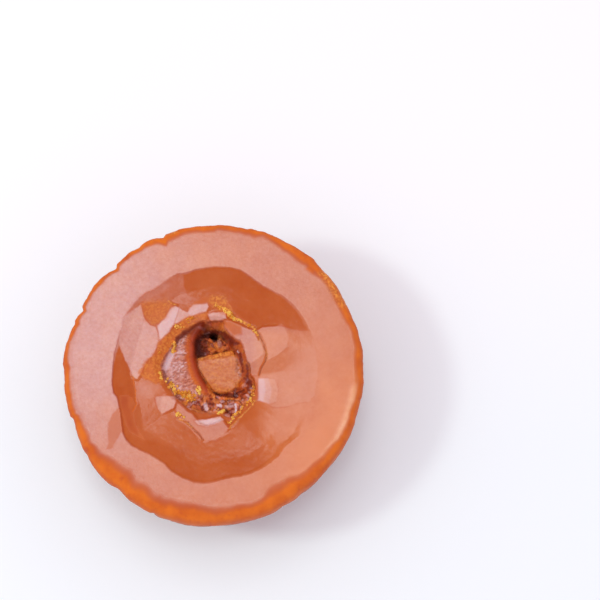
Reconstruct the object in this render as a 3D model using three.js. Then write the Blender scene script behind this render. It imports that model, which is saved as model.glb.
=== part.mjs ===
import * as THREE from 'three';

// Jaggery block, set in half a coconut shell and broken open at the middle of its set face.
// Millimetres, +Z up: z = 0 is the small flat spot under the dome, z = HEIGHT the outer band of the set face.
// Angles are in degrees from +X towards +Y. Depths on the set face count downwards from HEIGHT.

// Dome and rim
const HEIGHT = 48;
const MEAN_RADIUS = 50.1;
const WIDEST_DROP = 4;           // the widest level, below the set face
const DOME_DEPTH = 44.5;         // from the widest level to the dome's own pole
const DOME_FULLNESS = 2.2;       // 2 is an ellipse, more gives a fuller shoulder
const RIM_FULLNESS = 2.3;
const RIM_WIDTHS = [3.4, 2.6, 2.2, 2, 2, 2, 2.2, 2.6, 4.4, 4.2, 3.8, 3.6, 4.2, 4.4, 4, 3.6];

// Slow unevenness of the outline
const OUTLINE_WAVES = [
  { count: 2, height: 0.55, crest: 75 }, { count: 3, height: 0.12, crest: 20 },
  { count: 4, height: 0.16, crest: 350 }, { count: 5, height: 0.09, crest: 40 },
  { count: 7, height: 0.08, crest: 12 },
];

// Creases left by the shell's ribs: angle, depth, half width in degrees, first and last level counted down
// from the widest one
const AT_RIM = -WIDEST_DROP;
const CREASES = [
  { at: 20, depth: 0.35, half: 2.2, from: 6, to: 26 },
  { at: 46, depth: 0.55, half: 2.2, from: 2, to: 24 },
  { at: 67, depth: 0.35, half: 2.2, from: AT_RIM, to: 12 },
  { at: 77.5, depth: 0.6, half: 2.4, from: AT_RIM, to: 22 },
  { at: 96, depth: 0.5, half: 2.2, from: 3, to: 27 },
  { at: 112, depth: 1.45, half: 2.2, from: AT_RIM, to: 30 },
  { at: 123.5, depth: 1, half: 2.8, from: AT_RIM, to: 14 },
  { at: 133, depth: 2, half: 2.2, from: AT_RIM, to: 34 },
  { at: 154, depth: 1.35, half: 2.2, from: AT_RIM, to: 28 },
  { at: 163, depth: 0.4, half: 2.4, from: AT_RIM, to: 10 },
  { at: 179.5, depth: 0.6, half: 2.4, from: AT_RIM, to: 24 },
  { at: 199, depth: 1.45, half: 2.2, from: AT_RIM, to: 32 },
  { at: 214, depth: 0.6, half: 2.4, from: AT_RIM, to: 13 },
  { at: 228.5, depth: 1.15, half: 2.6, from: AT_RIM, to: 29 },
  { at: 247, depth: 1.1, half: 2.4, from: AT_RIM, to: 26 },
  { at: 270, depth: 0.7, half: 2.2, from: 3, to: 30 },
  { at: 297, depth: 0.5, half: 2.4, from: 0, to: 22 },
  { at: 318, depth: 0.7, half: 2.6, from: AT_RIM, to: 26 },
  { at: 332, depth: 0.45, half: 2.4, from: AT_RIM, to: 14 },
  { at: 350, depth: 0.9, half: 2.2, from: 1, to: 31 },
];
const CREASE_START = 4;          // levels over which a crease begins
const CREASE_END = 9;            // levels over which it runs out
const LEAN = { most: 5, count: 3, phase: 40, full: 40 };   // how the creases lean over the dome, degrees

// Shallow dish in the set face: radii, edge step and slopes (degrees) at even angles round its centre
const DISH_CENTRE = [0.6, -0.3];
const DISH_RADII = [
  34.2, 33.3, 33.9, 35.2, 36.4, 36.8, 37, 37, 36.2, 35.3, 34.4,
  34.3, 35.4, 36.6, 34.8, 35.4, 36.6, 35.3, 34.9, 33.6, 32.5, 33.4,
];
const DISH_STEPS = [0, 0.1, 0.5, 0.6, 0.6, 0.6, 0.6, 0.7, 0.8, 0.7, 0.5, 0.5];
const DISH_STEP_WIDTH = 0.4;
const DISH_OUTER_SLOPES = [2, 4.5, 7, 7.5, 7, 7, 9.5, 8.5, 7.5, 7.5, 7, 4];
const DISH_INNER_SLOPES = [1.5, 4, 6.5, 6.5, 4.5, 3, 3, 3.5, 4.5, 5, 4, 2.5];
const DISH_OUTER_BAND = 6.5;

// Plates of skin left standing in the dish: outline, depth at its first point and the fall per mm in x and y
const PLATES = [
  {
    outline: [[-24.5, 22.8], [-30.8, 17.8], [-32.2, 12], [-30.6, 6.3], [-27.3, -1.2], [-19.4, 6.3],
      [-18.7, 12.7], [-19.6, 17]],
    depth: 1.05,
    fall: [0.03, 0],
  },
  {
    outline: [[14.1, 13.3], [19.7, 15.8], [24.6, 14.9], [32, 13.8], [34, 6], [33.5, -9], [29.5, -9],
      [22.5, -11.6], [19, -11.3], [14.3, -9.3], [14.6, -1.6], [17, 5.6]],
    depth: 1.6,
    fall: [-0.05, 0],
  },
  {
    outline: [[-17.4, 11.8], [-13.2, 17.4], [-12, 20.6], [-5.6, 21.3], [-2.2, 22], [-1.6, 19.5], [-8.2, 17],
      [-12, 14], [-15.5, 9], [-16.6, 8]],
    depth: 1.7,
    fall: [0, 0.02],
  },
  {
    outline: [[-1.8, 19.2], [3.3, 19.5], [3.9, 17.9], [0, 16.9], [-2.4, 17.3]],
    depth: 2.1,
    fall: [0, 0],
  },
  {
    outline: [[4.2, 17.6], [9.6, 15.5], [14.2, 13.6], [15.8, 10.9], [17.2, 6], [16.2, 2], [13.9, -2],
      [12.2, -1.4], [10.9, 4], [9.4, 8.6], [7, 12.2]],
    depth: 2.2,
    fall: [0, 0],
  },
  {
    outline: [[-19.2, -7.8], [-12.9, -7.6], [-13.4, -11.6], [-17.4, -13.2], [-19.4, -10.6]],
    depth: 2,
    fall: [0, 0],
  },
];
const PLATE_EDGE = 0.6;          // width of the slope down from a plate

// Pit broken through the middle of the dish: mouth radii at even angles round its centre
const PIT_CENTRE = [-2, 0];
const PIT_RADII = [
  14.2, 13.3, 14.2, 15.6, 17.6, 17.4, 16.8, 15.2, 14.8, 15.9, 15.2, 14.2, 12.9, 13.8, 14.1, 17.9, 17.2, 17.2,
];
const PIT_MOUTH_DEPTH = 3;
const PIT_FLOOR_DEPTH = 14.5;
const PIT_WALL = 4.4;            // how far in the wall reaches the floor
const PIT_BEVEL = 1.4;           // broken edge of the mouth

// What fills the pit: a soft lump that ends in a lip along a circle, a flat slab half under it, a rough ledge
// in front of the slab and rubble in the hole behind it
const LUMP = { centre: [5, 7.5], radius: 13.5, depth: 3.9, fall: 0.07, rounding: 2, undercut: 4 };
const SLAB = {
  outline: [[-9.5, 4.4], [-3.9, 5.4], [5.6, 7], [9.1, 7], [10.2, 0.5], [8.8, -4.6], [3.5, -6.4], [-3.5, -5.6],
    [-9, 0]],
  middle: [2.6, 1.4],
  depth: 6.1,
  fall: 0.07,
  underLip: 0.25,
};
const LEDGE = { depth: 5.2, start: -4.6, full: -7.2, lean: 0.12 };
const RUBBLE = { depth: 8.6, back: [11.2, 8.8], side: [-7, -3] };

// Mesh
const COLUMNS = 112;
const CREASE_COLUMN_GAP = 1.6;   // degrees from a crease's column to its neighbours
const SLAB_GAP = 0.6;            // from the slab's edge to the next ring
const PIT_RINGS_COARSE = [0.18, 0.38];
const PIT_RINGS_FINE = [0.56, 0.72, 0.87, 1];
const DISH_RINGS = 13;
const BAND_RINGS = [0, 0.3, 0.65, 1];
const RIM_RINGS = 4;
const DOME_RINGS = 14;
const DOME_HALF_FROM = 10;       // first dome ring with half the columns
const DOME_QUARTER_FROM = 13;    // first dome ring with a quarter of them

const DEG = Math.PI / 180;
const clamp = (value, low, high) => Math.min(high, Math.max(low, value));
const mix = (a, b, t) => a + (b - a) * t;
const between = (from, to, t) => [mix(from[0], to[0], t), mix(from[1], to[1], t)];
const halfTurnWrapped = (degrees) => ((degrees % 360) + 540) % 360 - 180;

function circlePoint([cx, cy], radius, angle) {
  return [cx + radius * Math.cos(angle * DEG), cy + radius * Math.sin(angle * DEG)];
}

function polar(x, y, [cx, cy]) {
  return { angle: Math.atan2(y - cy, x - cx) / DEG, radius: Math.hypot(x - cx, y - cy) };
}

function smooth(start, end, value) {
  const t = clamp((value - start) / (end - start), 0, 1);
  return t * t * (3 - 2 * t);
}

// Smooth closed curve through values spaced evenly round a circle
function around(values, angle) {
  const count = values.length;
  const place = ((angle / 360 * count) % count + count) % count;
  const index = Math.floor(place);
  const f = place - index;
  const [p0, p1, p2, p3] = [-1, 0, 1, 2].map((step) => values[(index + step + count) % count]);
  return p1 + 0.5 * f * (p2 - p0 + f * (2 * p0 - 5 * p1 + 4 * p2 - p3 + f * (3 * (p1 - p2) + p3 - p0)));
}

// Distance to a closed outline, positive inside it
function insideBy(x, y, outline) {
  let nearest = Infinity;
  let inside = false;
  outline.forEach(([ax, ay], i) => {
    const [bx, by] = outline[(i + 1) % outline.length];
    const [ex, ey] = [bx - ax, by - ay];
    const t = clamp(((x - ax) * ex + (y - ay) * ey) / (ex * ex + ey * ey), 0, 1);
    nearest = Math.min(nearest, Math.hypot(x - ax - t * ex, y - ay - t * ey));
    if ((ay > y) !== (by > y) && x < ex * (y - ay) / ey + ax) inside = !inside;
  });
  return inside ? nearest : -nearest;
}

// Depth of the creases at an angle and a level below the widest one: a sharp line in a shallow trough
function creaseDepth(angle, level) {
  return CREASES.reduce((sum, { at, depth, half, from, to }) => {
    const off = (halfTurnWrapped(angle - at) / half) ** 2;
    const run = smooth(from - CREASE_START, from, level) * smooth(to, to - CREASE_END, level);
    return sum + depth * run * (Math.exp(-2.2 * off) + 0.25 * Math.exp(-0.25 * off));
  }, 0);
}

function outlineRadius(angle, level) {
  const waves = OUTLINE_WAVES.reduce((sum, { count, height, crest }) => (
    sum + height * Math.cos(count * (angle - crest) * DEG)), 0);
  return MEAN_RADIUS + waves - creaseDepth(angle, level);
}

// Dish floor and the plates of skin standing in it
function dishDepth(x, y) {
  const { angle, radius } = polar(x, y, DISH_CENTRE);
  const inward = around(DISH_RADII, angle) - radius;
  if (inward <= 0) return 0;
  let depth = Math.max(around(DISH_STEPS, angle), 0) * smooth(0, DISH_STEP_WIDTH, inward);
  depth += Math.tan(around(DISH_OUTER_SLOPES, angle) * DEG) * Math.min(inward, DISH_OUTER_BAND);
  depth += Math.tan(around(DISH_INNER_SLOPES, angle) * DEG) * Math.max(inward - DISH_OUTER_BAND, 0);
  PLATES.forEach((plate) => {
    const [ox, oy] = plate.outline[0];
    const top = plate.depth + plate.fall[0] * (x - ox) + plate.fall[1] * (y - oy);
    depth = mix(depth, Math.min(depth, top), smooth(-PLATE_EDGE, 0, insideBy(x, y, plate.outline)));
  });
  return depth;
}

// Distance from the lip back over the lump
function pastLip(x, y) {
  return polar(x, y, LUMP.centre).radius - LUMP.radius;
}

function lumpDepth(x, y, bumps) {
  const past = pastLip(x, y);
  const over = clamp(1 - past / LUMP.rounding, 0, 1);
  const top = LUMP.depth + LUMP.fall * Math.max(past, 0) + 0.25 * bumps * smooth(1, 3, past);
  return top + LUMP.rounding * (1 - Math.sqrt(1 - over * over)) + LUMP.undercut * Math.max(-past, 0);
}

// Floor of the pit, the highest of the wall and what fills it
function pitDepth(x, y, inward) {
  const bumps = Math.sin(x * 1.1 + 0.6) * Math.cos(y * 0.9 - x * 0.4) + 0.5 * Math.sin(y * 1.9 + x * 0.8);
  const risingTo = (depth, share) => mix(PIT_FLOOR_DEPTH, depth, share);
  const wall = mix(PIT_MOUTH_DEPTH, PIT_FLOOR_DEPTH, smooth(0, PIT_WALL, inward));
  const ledge = risingTo(LEDGE.depth + 0.5 * bumps, smooth(LEDGE.start, LEDGE.full, y + LEDGE.lean * x));
  const rubble = risingTo(RUBBLE.depth + 0.6 * bumps, smooth(...RUBBLE.back, y) * smooth(...RUBBLE.side, x));
  const slab = risingTo(SLAB.depth - SLAB.fall * y, smooth(-SLAB_GAP, 0, insideBy(x, y, SLAB.outline)));
  return Math.min(wall, lumpDepth(x, y, bumps), ledge, rubble, slab);
}

function faceLevel(x, y) {
  const { angle, radius } = polar(x, y, PIT_CENTRE);
  const inward = around(PIT_RADII, angle) - radius;
  const dish = dishDepth(x, y);
  if (inward <= 0) return HEIGHT - dish;
  return HEIGHT - Math.max(dish, mix(dish, pitDepth(x, y, inward), smooth(0, PIT_BEVEL, inward)));
}

// Where the slab ends or slips under the lip, along one direction from its middle
function slabEdge(angle, gap) {
  let [near, far] = [0, 2 * LUMP.radius];
  while (far - near > 0.001) {
    const reach = (near + far) / 2;
    const [x, y] = circlePoint(SLAB.middle, reach, angle);
    const open = Math.min(insideBy(x, y, SLAB.outline), -SLAB.underLip - pastLip(x, y));
    if (open > 0) near = reach;
    else far = reach;
  }
  return circlePoint(SLAB.middle, near + gap, angle);
}

// Column angles: one on each crease with a neighbour each side, the widest gaps halved until there are enough
function creaseColumns() {
  const angles = CREASES.flatMap(({ at }) => [at - CREASE_COLUMN_GAP, at, at + CREASE_COLUMN_GAP]);
  angles.sort((a, b) => a - b);
  while (angles.length < COLUMNS) {
    const gaps = angles.map((angle, i) => (angles[i + 1] ?? angles[0] + 360) - angle);
    const widest = gaps.indexOf(Math.max(...gaps));
    angles.splice(widest + 1, 0, angles[widest] + gaps[widest] / 2);
  }
  return angles;
}

// Ring places from the pit's mouth to the dish's edge, the nearest ones moved onto the edges of the plates
function placesAcross(from, to) {
  const places = Array.from({ length: DISH_RINGS + 1 }, (_, j) => j / DISH_RINGS);
  const taken = new Set([0, DISH_RINGS]);
  const samples = 8 * DISH_RINGS;
  PLATES.forEach(({ outline }) => {
    const inside = (n) => insideBy(...between(from, to, n / samples), outline);
    for (let n = 0; n < samples; n += 1) {
      const [here, next] = [inside(n), inside(n + 1)];
      const edge = (n + here / (here - next)) / samples;
      const nearest = Math.round(edge * DISH_RINGS);
      if (here * next < 0 && !taken.has(nearest)) {
        taken.add(nearest);
        places[nearest] = edge;
      }
    }
  });
  return places;
}

// Rings on the set face, from the slab's middle outward to where the rim begins to round
function faceRings(rimAngles) {
  const evenAngles = rimAngles.map((_, i) => rimAngles[0] + 360 * i / COLUMNS);
  const mouth = evenAngles.map((angle) => circlePoint(PIT_CENTRE, around(PIT_RADII, angle), angle));
  const bevelFoot = evenAngles.map((angle) => (
    circlePoint(PIT_CENTRE, around(PIT_RADII, angle) - PIT_BEVEL, angle)));
  const slab = evenAngles.map((angle) => slabEdge(angle, 0));
  const slabFoot = evenAngles.map((angle) => slabEdge(angle, SLAB_GAP));
  const dish = evenAngles.map((angle) => circlePoint(DISH_CENTRE, around(DISH_RADII, angle), angle));
  const dishFoot = evenAngles.map((angle) => (
    circlePoint(DISH_CENTRE, around(DISH_RADII, angle) - DISH_STEP_WIDTH, angle)));
  const rim = rimAngles.map((angle) => (
    circlePoint([0, 0], outlineRadius(angle, AT_RIM) - around(RIM_WIDTHS, angle), angle)));
  const dishPlaces = mouth.map((point, i) => placesAcross(point, dishFoot[i]));

  const ring = (step, place) => rimAngles.map((_, i) => i).filter((i) => i % step === 0).map((i) => {
    const [x, y] = place(i);
    return new THREE.Vector3(x, y, faceLevel(x, y));
  });
  return [
    ring(4, (i) => between(SLAB.middle, slab[i], 0.5)),
    ring(2, (i) => slab[i]),
    ring(2, (i) => slabFoot[i]),
    ...PIT_RINGS_COARSE.map((t) => ring(2, (i) => between(slabFoot[i], bevelFoot[i], t))),
    ...PIT_RINGS_FINE.map((t) => ring(1, (i) => between(slabFoot[i], bevelFoot[i], t))),
    ...dishPlaces[0].map((_, j) => ring(1, (i) => between(mouth[i], dishFoot[i], dishPlaces[i][j]))),
    ...BAND_RINGS.map((t) => ring(1, (i) => between(dish[i], rim[i], t))),
  ];
}

// Rings over the rounded rim and down the dome to the flat spot
function sideRings(rimAngles) {
  const ring = (step, level, share, inset) => rimAngles.filter((_, i) => i % step === 0).map((angle) => {
    const lean = LEAN.most * Math.sin((LEAN.count * angle + LEAN.phase) * DEG) * smooth(0, LEAN.full, level);
    const radius = outlineRadius(angle, level) * share - inset(angle);
    const [x, y] = circlePoint([0, 0], radius, angle + lean);
    return new THREE.Vector3(x, y, HEIGHT - WIDEST_DROP - level);
  });
  const rings = [];
  for (let j = 1; j <= RIM_RINGS; j += 1) {
    const turn = 90 * j / RIM_RINGS * DEG;
    const level = -WIDEST_DROP * Math.max(Math.cos(turn), 0) ** (2 / RIM_FULLNESS);
    const inset = 1 - Math.sin(turn) ** (2 / RIM_FULLNESS);
    rings.push(ring(1, level, 1, (angle) => around(RIM_WIDTHS, angle) * inset));
  }
  const lastTurn = Math.asin(((HEIGHT - WIDEST_DROP) / DOME_DEPTH) ** (DOME_FULLNESS / 2));
  for (let j = 1; j <= DOME_RINGS; j += 1) {
    const turn = lastTurn * j / DOME_RINGS;
    const level = DOME_DEPTH * Math.sin(turn) ** (2 / DOME_FULLNESS);
    const share = Math.cos(turn) ** (2 / DOME_FULLNESS);
    const step = j >= DOME_QUARTER_FROM ? 4 : j >= DOME_HALF_FROM ? 2 : 1;
    rings.push(ring(step, level, share, () => 0));
  }
  return rings;
}

// Closed skin over the rings, where each ring is as long as the last, twice as long or half as long
function skinOver(rings, first, last) {
  const points = [first, ...rings.flat(), last];
  const starts = [];
  rings.reduce((start, ring) => {
    starts.push(start);
    return start + ring.length;
  }, 1);
  const at = (ring, i) => starts[ring] + i % rings[ring].length;
  const faces = [];
  rings[0].forEach((_, i) => faces.push(0, at(0, i), at(0, i + 1)));
  for (let r = 0; r + 1 < rings.length; r += 1) {
    const [inner, outer] = [rings[r].length, rings[r + 1].length];
    for (let i = 0; i < Math.min(inner, outer); i += 1) {
      if (inner === outer) {
        faces.push(at(r, i), at(r + 1, i), at(r + 1, i + 1));
        faces.push(at(r, i), at(r + 1, i + 1), at(r, i + 1));
      } else if (inner < outer) {
        faces.push(at(r, i), at(r + 1, 2 * i), at(r + 1, 2 * i + 1));
        faces.push(at(r, i), at(r + 1, 2 * i + 1), at(r, i + 1));
        faces.push(at(r, i + 1), at(r + 1, 2 * i + 1), at(r + 1, 2 * i + 2));
      } else {
        faces.push(at(r, 2 * i), at(r + 1, i), at(r, 2 * i + 1));
        faces.push(at(r, 2 * i + 1), at(r + 1, i), at(r + 1, i + 1));
        faces.push(at(r, 2 * i + 1), at(r + 1, i + 1), at(r, 2 * i + 2));
      }
    }
  }
  const tail = rings.length - 1;
  rings[tail].forEach((_, i) => faces.push(points.length - 1, at(tail, i + 1), at(tail, i)));
  const geometry = new THREE.BufferGeometry().setFromPoints(points);
  geometry.setIndex(faces);
  return geometry;
}

function buildBlock() {
  const rimAngles = creaseColumns();
  const middle = new THREE.Vector3(...SLAB.middle, faceLevel(...SLAB.middle));
  const geometry = skinOver([...faceRings(rimAngles), ...sideRings(rimAngles)], middle, new THREE.Vector3());
  geometry.computeBoundingBox();
  const centre = geometry.boundingBox.getCenter(new THREE.Vector3());
  geometry.translate(-centre.x, -centre.y, 0);
  geometry.computeVertexNormals();
  const jaggery = new THREE.MeshStandardMaterial({ color: 0xbd562c, roughness: 0.35, metalness: 0 });
  jaggery.name = 'jaggery';
  const block = new THREE.Mesh(geometry, jaggery);
  block.name = 'jaggery_block';
  return block;
}

const object = new THREE.Group();
object.name = 'jaggery';
object.add(buildBlock());

export default object;
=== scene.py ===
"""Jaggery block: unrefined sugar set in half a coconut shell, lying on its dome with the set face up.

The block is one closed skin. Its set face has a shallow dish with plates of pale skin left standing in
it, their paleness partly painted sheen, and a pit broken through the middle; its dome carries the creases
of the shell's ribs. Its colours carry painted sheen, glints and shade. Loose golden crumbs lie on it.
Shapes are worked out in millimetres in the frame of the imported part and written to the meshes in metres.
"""
import logging
import math
from dataclasses import dataclass, field
from enum import Enum
from functools import partial

import bpy
import numpy as np
from mathutils import Matrix, Vector


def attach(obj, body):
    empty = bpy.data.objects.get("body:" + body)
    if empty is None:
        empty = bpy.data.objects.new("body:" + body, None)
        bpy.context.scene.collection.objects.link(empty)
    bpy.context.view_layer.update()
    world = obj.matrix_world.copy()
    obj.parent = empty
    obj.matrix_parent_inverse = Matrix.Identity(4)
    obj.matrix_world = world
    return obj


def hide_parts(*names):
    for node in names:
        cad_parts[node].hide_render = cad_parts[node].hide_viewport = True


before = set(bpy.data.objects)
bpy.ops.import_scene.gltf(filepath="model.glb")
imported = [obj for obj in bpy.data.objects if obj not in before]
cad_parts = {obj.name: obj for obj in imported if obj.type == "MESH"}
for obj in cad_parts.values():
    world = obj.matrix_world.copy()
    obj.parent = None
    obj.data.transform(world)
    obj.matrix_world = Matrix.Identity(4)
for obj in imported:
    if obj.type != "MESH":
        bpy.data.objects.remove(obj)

LOG = logging.getLogger("jaggery_block")
MM = 0.001
DEGREE_RUN = 0.87  # how many mm one degree runs along the outline

Array = np.ndarray
Point = tuple[float, float]
Outline = tuple[Point, ...]
Colour = tuple[float, float, float, float]
Socket = bpy.types.NodeSocket
Zones = dict["Zone", Array]


class Zone(Enum):
    """What a spot of the skin is made of, or what light or shade is painted on it. Each is a vertex
    attribute from 0 to 1 that the finish reads.
    """

    BLOOM = "bloom_and_sheen"      # pale satin skin, with painted sheen of reflected light on it
    WARM = "warm"        # lighter, more golden body colour
    AMBER = "amber"      # thin, glowing orange sugar
    GRAIN = "grain"      # broken, granular golden sugar
    RED = "red"          # clear red sugar of the lip
    SYRUP_AND_SHADE = "syrup_and_shade"      # dark wet syrup, and painted shade in deep, overhung and narrow parts of the pit
    PAINTED_GLINT = "painted_glint"      # painted whitish glints and highlights
    CREASE = "crease"    # painted shade at the bottom of a crease, crack or hole
    SIDE = "side"        # dull skin of the dome
    CRUMBS = "crumbs"    # how thickly loose crumbs lie


# ---------------------------------------------------------------- shape helpers


def smooth(start: float | Array, end: float | Array, value: float | Array) -> Array:
    """Ease from 0 at start to 1 at end.

    Args:
        start: Value at which the result is 0.
        end: Value at which the result is 1; may be below start.
        value: Where to read it.

    Returns:
        The eased share, 0 to 1.
    """
    t = np.clip((value - start) / (end - start), 0.0, 1.0)
    return t * t * (3.0 - 2.0 * t)


def mix(a: float | Array, b: float | Array, t: float | Array) -> Array:
    """Blend from a to b by the share t."""
    return a + (b - a) * t


def around(values: tuple[float, ...], angle: float | Array) -> Array:
    """Read a smooth closed curve through values spaced evenly round a circle.

    Args:
        values: The curve's values, the first at angle 0.
        angle: Angles in degrees.

    Returns:
        The curve's value at each angle.
    """
    knots = np.asarray(values, dtype=float)
    count = len(knots)
    place = (np.asarray(angle, dtype=float) / 360.0 * count) % count
    index = np.floor(place).astype(int)
    f = place - index
    p0, p1, p2, p3 = (knots[(index + step) % count] for step in (-1, 0, 1, 2))
    return p1 + 0.5 * f * (p2 - p0 + f * (2 * p0 - 5 * p1 + 4 * p2 - p3 + f * (3 * (p1 - p2) + p3 - p0)))


def polar(x: Array, y: Array, centre: Point = (0.0, 0.0)) -> tuple[Array, Array]:
    """Angle in degrees and distance of points from a centre."""
    dx, dy = x - centre[0], y - centre[1]
    return np.degrees(np.arctan2(dy, dx)), np.hypot(dx, dy)


def on_circle(centre: Point, radius: float | Array, angle: Array) -> tuple[Array, Array]:
    """Points at an angle in degrees and a distance from a centre."""
    turn = np.radians(angle)
    return centre[0] + radius * np.cos(turn), centre[1] + radius * np.sin(turn)


def line_distance(x: Array, y: Array, a: Point, b: Point) -> Array:
    """Distance of points from the straight line between a and b."""
    ex, ey = b[0] - a[0], b[1] - a[1]
    t = np.clip(((x - a[0]) * ex + (y - a[1]) * ey) / (ex * ex + ey * ey), 0.0, 1.0)
    return np.hypot(x - a[0] - t * ex, y - a[1] - t * ey)


def path_distance(x: Array, y: Array, path: Outline) -> Array:
    """Distance of points from an open path of straight stretches."""
    return np.minimum.reduce([line_distance(x, y, a, b) for a, b in zip(path, path[1:])])


def inside_by(x: Array, y: Array, outline: Outline) -> Array:
    """Distance of points from a closed outline.

    Args:
        x: Points across.
        y: Points along.
        outline: Corners of the outline, in order.

    Returns:
        The distance, positive inside the outline and negative outside it.
    """
    nearest = path_distance(x, y, outline + outline[:1])
    inside = np.zeros(np.shape(x), dtype=bool)
    for (ax, ay), (bx, by) in zip(outline, outline[1:] + outline[:1]):
        if ay == by:
            continue
        inside ^= ((ay > y) != (by > y)) & (x < (bx - ax) * (y - ay) / (by - ay) + ax)
    return np.where(inside, nearest, -nearest)


class Noise:
    """Seeded noise over the plane, used for relief and for the edges of patches."""

    @staticmethod
    def _hash(ix: Array, iy: Array, seed: int) -> Array:
        """Even random numbers from 0 to 1 for whole-number places."""
        key = (ix * 374761393 + iy * 668265263 + seed * 1274126177) & 0x7FFFFFFF
        key = ((key ^ (key >> 13)) * 1103515245 + 12345) & 0x7FFFFFFF
        return ((key ^ (key >> 16)) & 0xFFFF) / 65536.0

    @classmethod
    def waves(cls, x: Array, y: Array, size: float, seed: int, octaves: int = 3) -> Array:
        """Soft bumps.

        Args:
            x: Points across.
            y: Points along.
            size: Width of the largest bumps.
            seed: Which pattern.
            octaves: How many finer layers are added, each half as wide and half as high.

        Returns:
            Heights, about -1 to 1.
        """
        total, height, reach = np.zeros(np.shape(x)), 1.0, 0.0
        for octave in range(octaves):
            u = np.asarray(x) / size * 2**octave + 17.3 * octave
            v = np.asarray(y) / size * 2**octave - 9.1 * octave
            total = total + height * cls._gradient(u, v, seed + octave)
            reach += height
            height *= 0.5
        return total / reach

    @classmethod
    def _gradient(cls, u: Array, v: Array, seed: int) -> Array:
        """One layer of gradient noise on a unit grid."""
        iu, iv = np.floor(u).astype(np.int64), np.floor(v).astype(np.int64)
        fu, fv = u - iu, v - iv

        def corner(du: int, dv: int) -> Array:
            """Slope of one corner's random gradient at the points."""
            turn = cls._hash(iu + du, iv + dv, seed) * 2 * math.pi
            return np.cos(turn) * (fu - du) + np.sin(turn) * (fv - dv)

        su, sv = (f**3 * (f * (f * 6 - 15) + 10) for f in (fu, fv))
        near = mix(corner(0, 0), corner(1, 0), su)
        far = mix(corner(0, 1), corner(1, 1), su)
        return 1.5 * mix(near, far, sv)

    @classmethod
    def shards(cls, x: Array, y: Array, size: float, seed: int) -> "Shards":
        """Broken pieces that fill the plane.

        Args:
            x: Points across.
            y: Points along.
            size: Width of a piece.
            seed: Which pattern.

        Returns:
            The level, tilt and edge distance of the piece that each point lies on.
        """
        u, v = np.asarray(x) / size, np.asarray(y) / size
        iu, iv = np.floor(u).astype(np.int64), np.floor(v).astype(np.int64)
        first, second = np.full(np.shape(u), 9.0), np.full(np.shape(u), 9.0)
        level, tilt = np.zeros(np.shape(u)), np.zeros(np.shape(u))
        for du in (-1, 0, 1):
            for dv in (-1, 0, 1):
                cu, cv = iu + du, iv + dv
                off_u = u - cu - cls._hash(cu, cv, seed)
                off_v = v - cv - cls._hash(cu, cv, seed + 1)
                gap = np.hypot(off_u, off_v)
                nearer = gap < first
                second = np.where(nearer, first, np.minimum(second, gap))
                slope_u = 2.0 * cls._hash(cu, cv, seed + 3) - 1.0
                slope_v = 2.0 * cls._hash(cu, cv, seed + 4) - 1.0
                level = np.where(nearer, cls._hash(cu, cv, seed + 2), level)
                tilt = np.where(nearer, slope_u * off_u + slope_v * off_v, tilt)
                first = np.where(nearer, gap, first)
        return Shards(level, tilt, second - first)


@dataclass(frozen=True)
class Shards:
    """Broken pieces read at many points.

    Attributes:
        level: The piece's random level, 0 to 1.
        tilt: Height of the piece's own random tilt, about -0.7 to 0.7.
        gap: Distance to the next piece, in shares of the size.
    """

    level: Array
    tilt: Array
    gap: Array


@dataclass(frozen=True)
class Ripple:
    """One layer of noise.

    Attributes:
        height: How high its bumps are.
        size: How wide its largest bumps are.
        seed: Which pattern.
        octaves: How many finer layers it is made of.
    """

    height: float
    size: float
    seed: int
    octaves: int = 3


def relief(x: Array, y: Array, ripples: tuple[Ripple, ...]) -> Array:
    """Height of several layers of noise together."""
    return sum(r.height * Noise.waves(x, y, r.size, r.seed, r.octaves) for r in ripples)


def raise_to(zones: Zones, zone: Zone, share: Array) -> None:
    """Raise a zone to a share wherever it is lower."""
    zones[zone] = np.maximum(zones[zone], share)


def turn_to(zones: Zones, zone: Zone, amount: float | Array, share: Array) -> None:
    """Bring a zone towards an amount by a share."""
    zones[zone] = mix(zones[zone], amount, share)


# ---------------------------------------------------------------- the set face


GRAINY_CORNER: Outline = (
    (-24.7, 23.4), (-21.3, 24.4), (-16.3, 25.1), (-14.7, 24.1), (-14.0, 22.7), (-14.7, 21.0), (-16.3, 18.9),
    (-18.0, 17.9), (-19.0, 16.6), (-20.7, 16.6), (-22.7, 17.9), (-24.0, 20.6),
)
PIT_COLLAR: Outline = (
    (-2.6, 20.9), (-6.3, 20.4), (-10.0, 19.0), (-13.3, 16.0), (-17.0, 12.6), (-18.7, 10.9), (-19.7, 8.1),
    (-20.7, 6.1), (-22.7, 4.7), (-24.0, 2.7), (-25.3, 0.3), (-23.0, -1.7), (-19.7, -3.1), (-17.0, -3.1),
    (-16.5, -0.6), (-17.0, 1.9), (-16.5, 4.4), (-15.0, 7.9), (-13.5, 10.4), (-12.0, 12.9), (-9.5, 14.9),
    (-5.5, 16.9), (-3.3, 17.7),
)
ORANGE_BAND: Outline = (
    (-31.0, -7.6), (-28.6, -7.6), (-28.2, -11.0), (-26.8, -15.2), (-25.0, -20.4), (-27.6, -19.2),
    (-29.4, -15.0), (-30.6, -11.0),
)
DARK_CORNER: Outline = ((2.2, 18.5), (5.3, 18.1), (8.7, 16.4), (8.8, 13.9), (6.2, 12.9), (3.2, 15.9))


@dataclass(frozen=True)
class Plate:
    """A plate of pale skin left standing in the dish.

    Attributes:
        outline: Its corners on the set face.
        depth: Depth of its top at the first corner.
        fall: How much deeper it gets per mm across and along.
        bloom_and_sheen: How pale it is, as pale skin and painted sheen.
        edge: Width of the broken slope round it.
        blur: How far its paleness fades in from its edge.
    """

    outline: Outline
    depth: float
    fall: Point = (0.0, 0.0)
    bloom_and_sheen: float = 0.8
    edge: float = 0.8
    blur: float = 0.3


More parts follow.
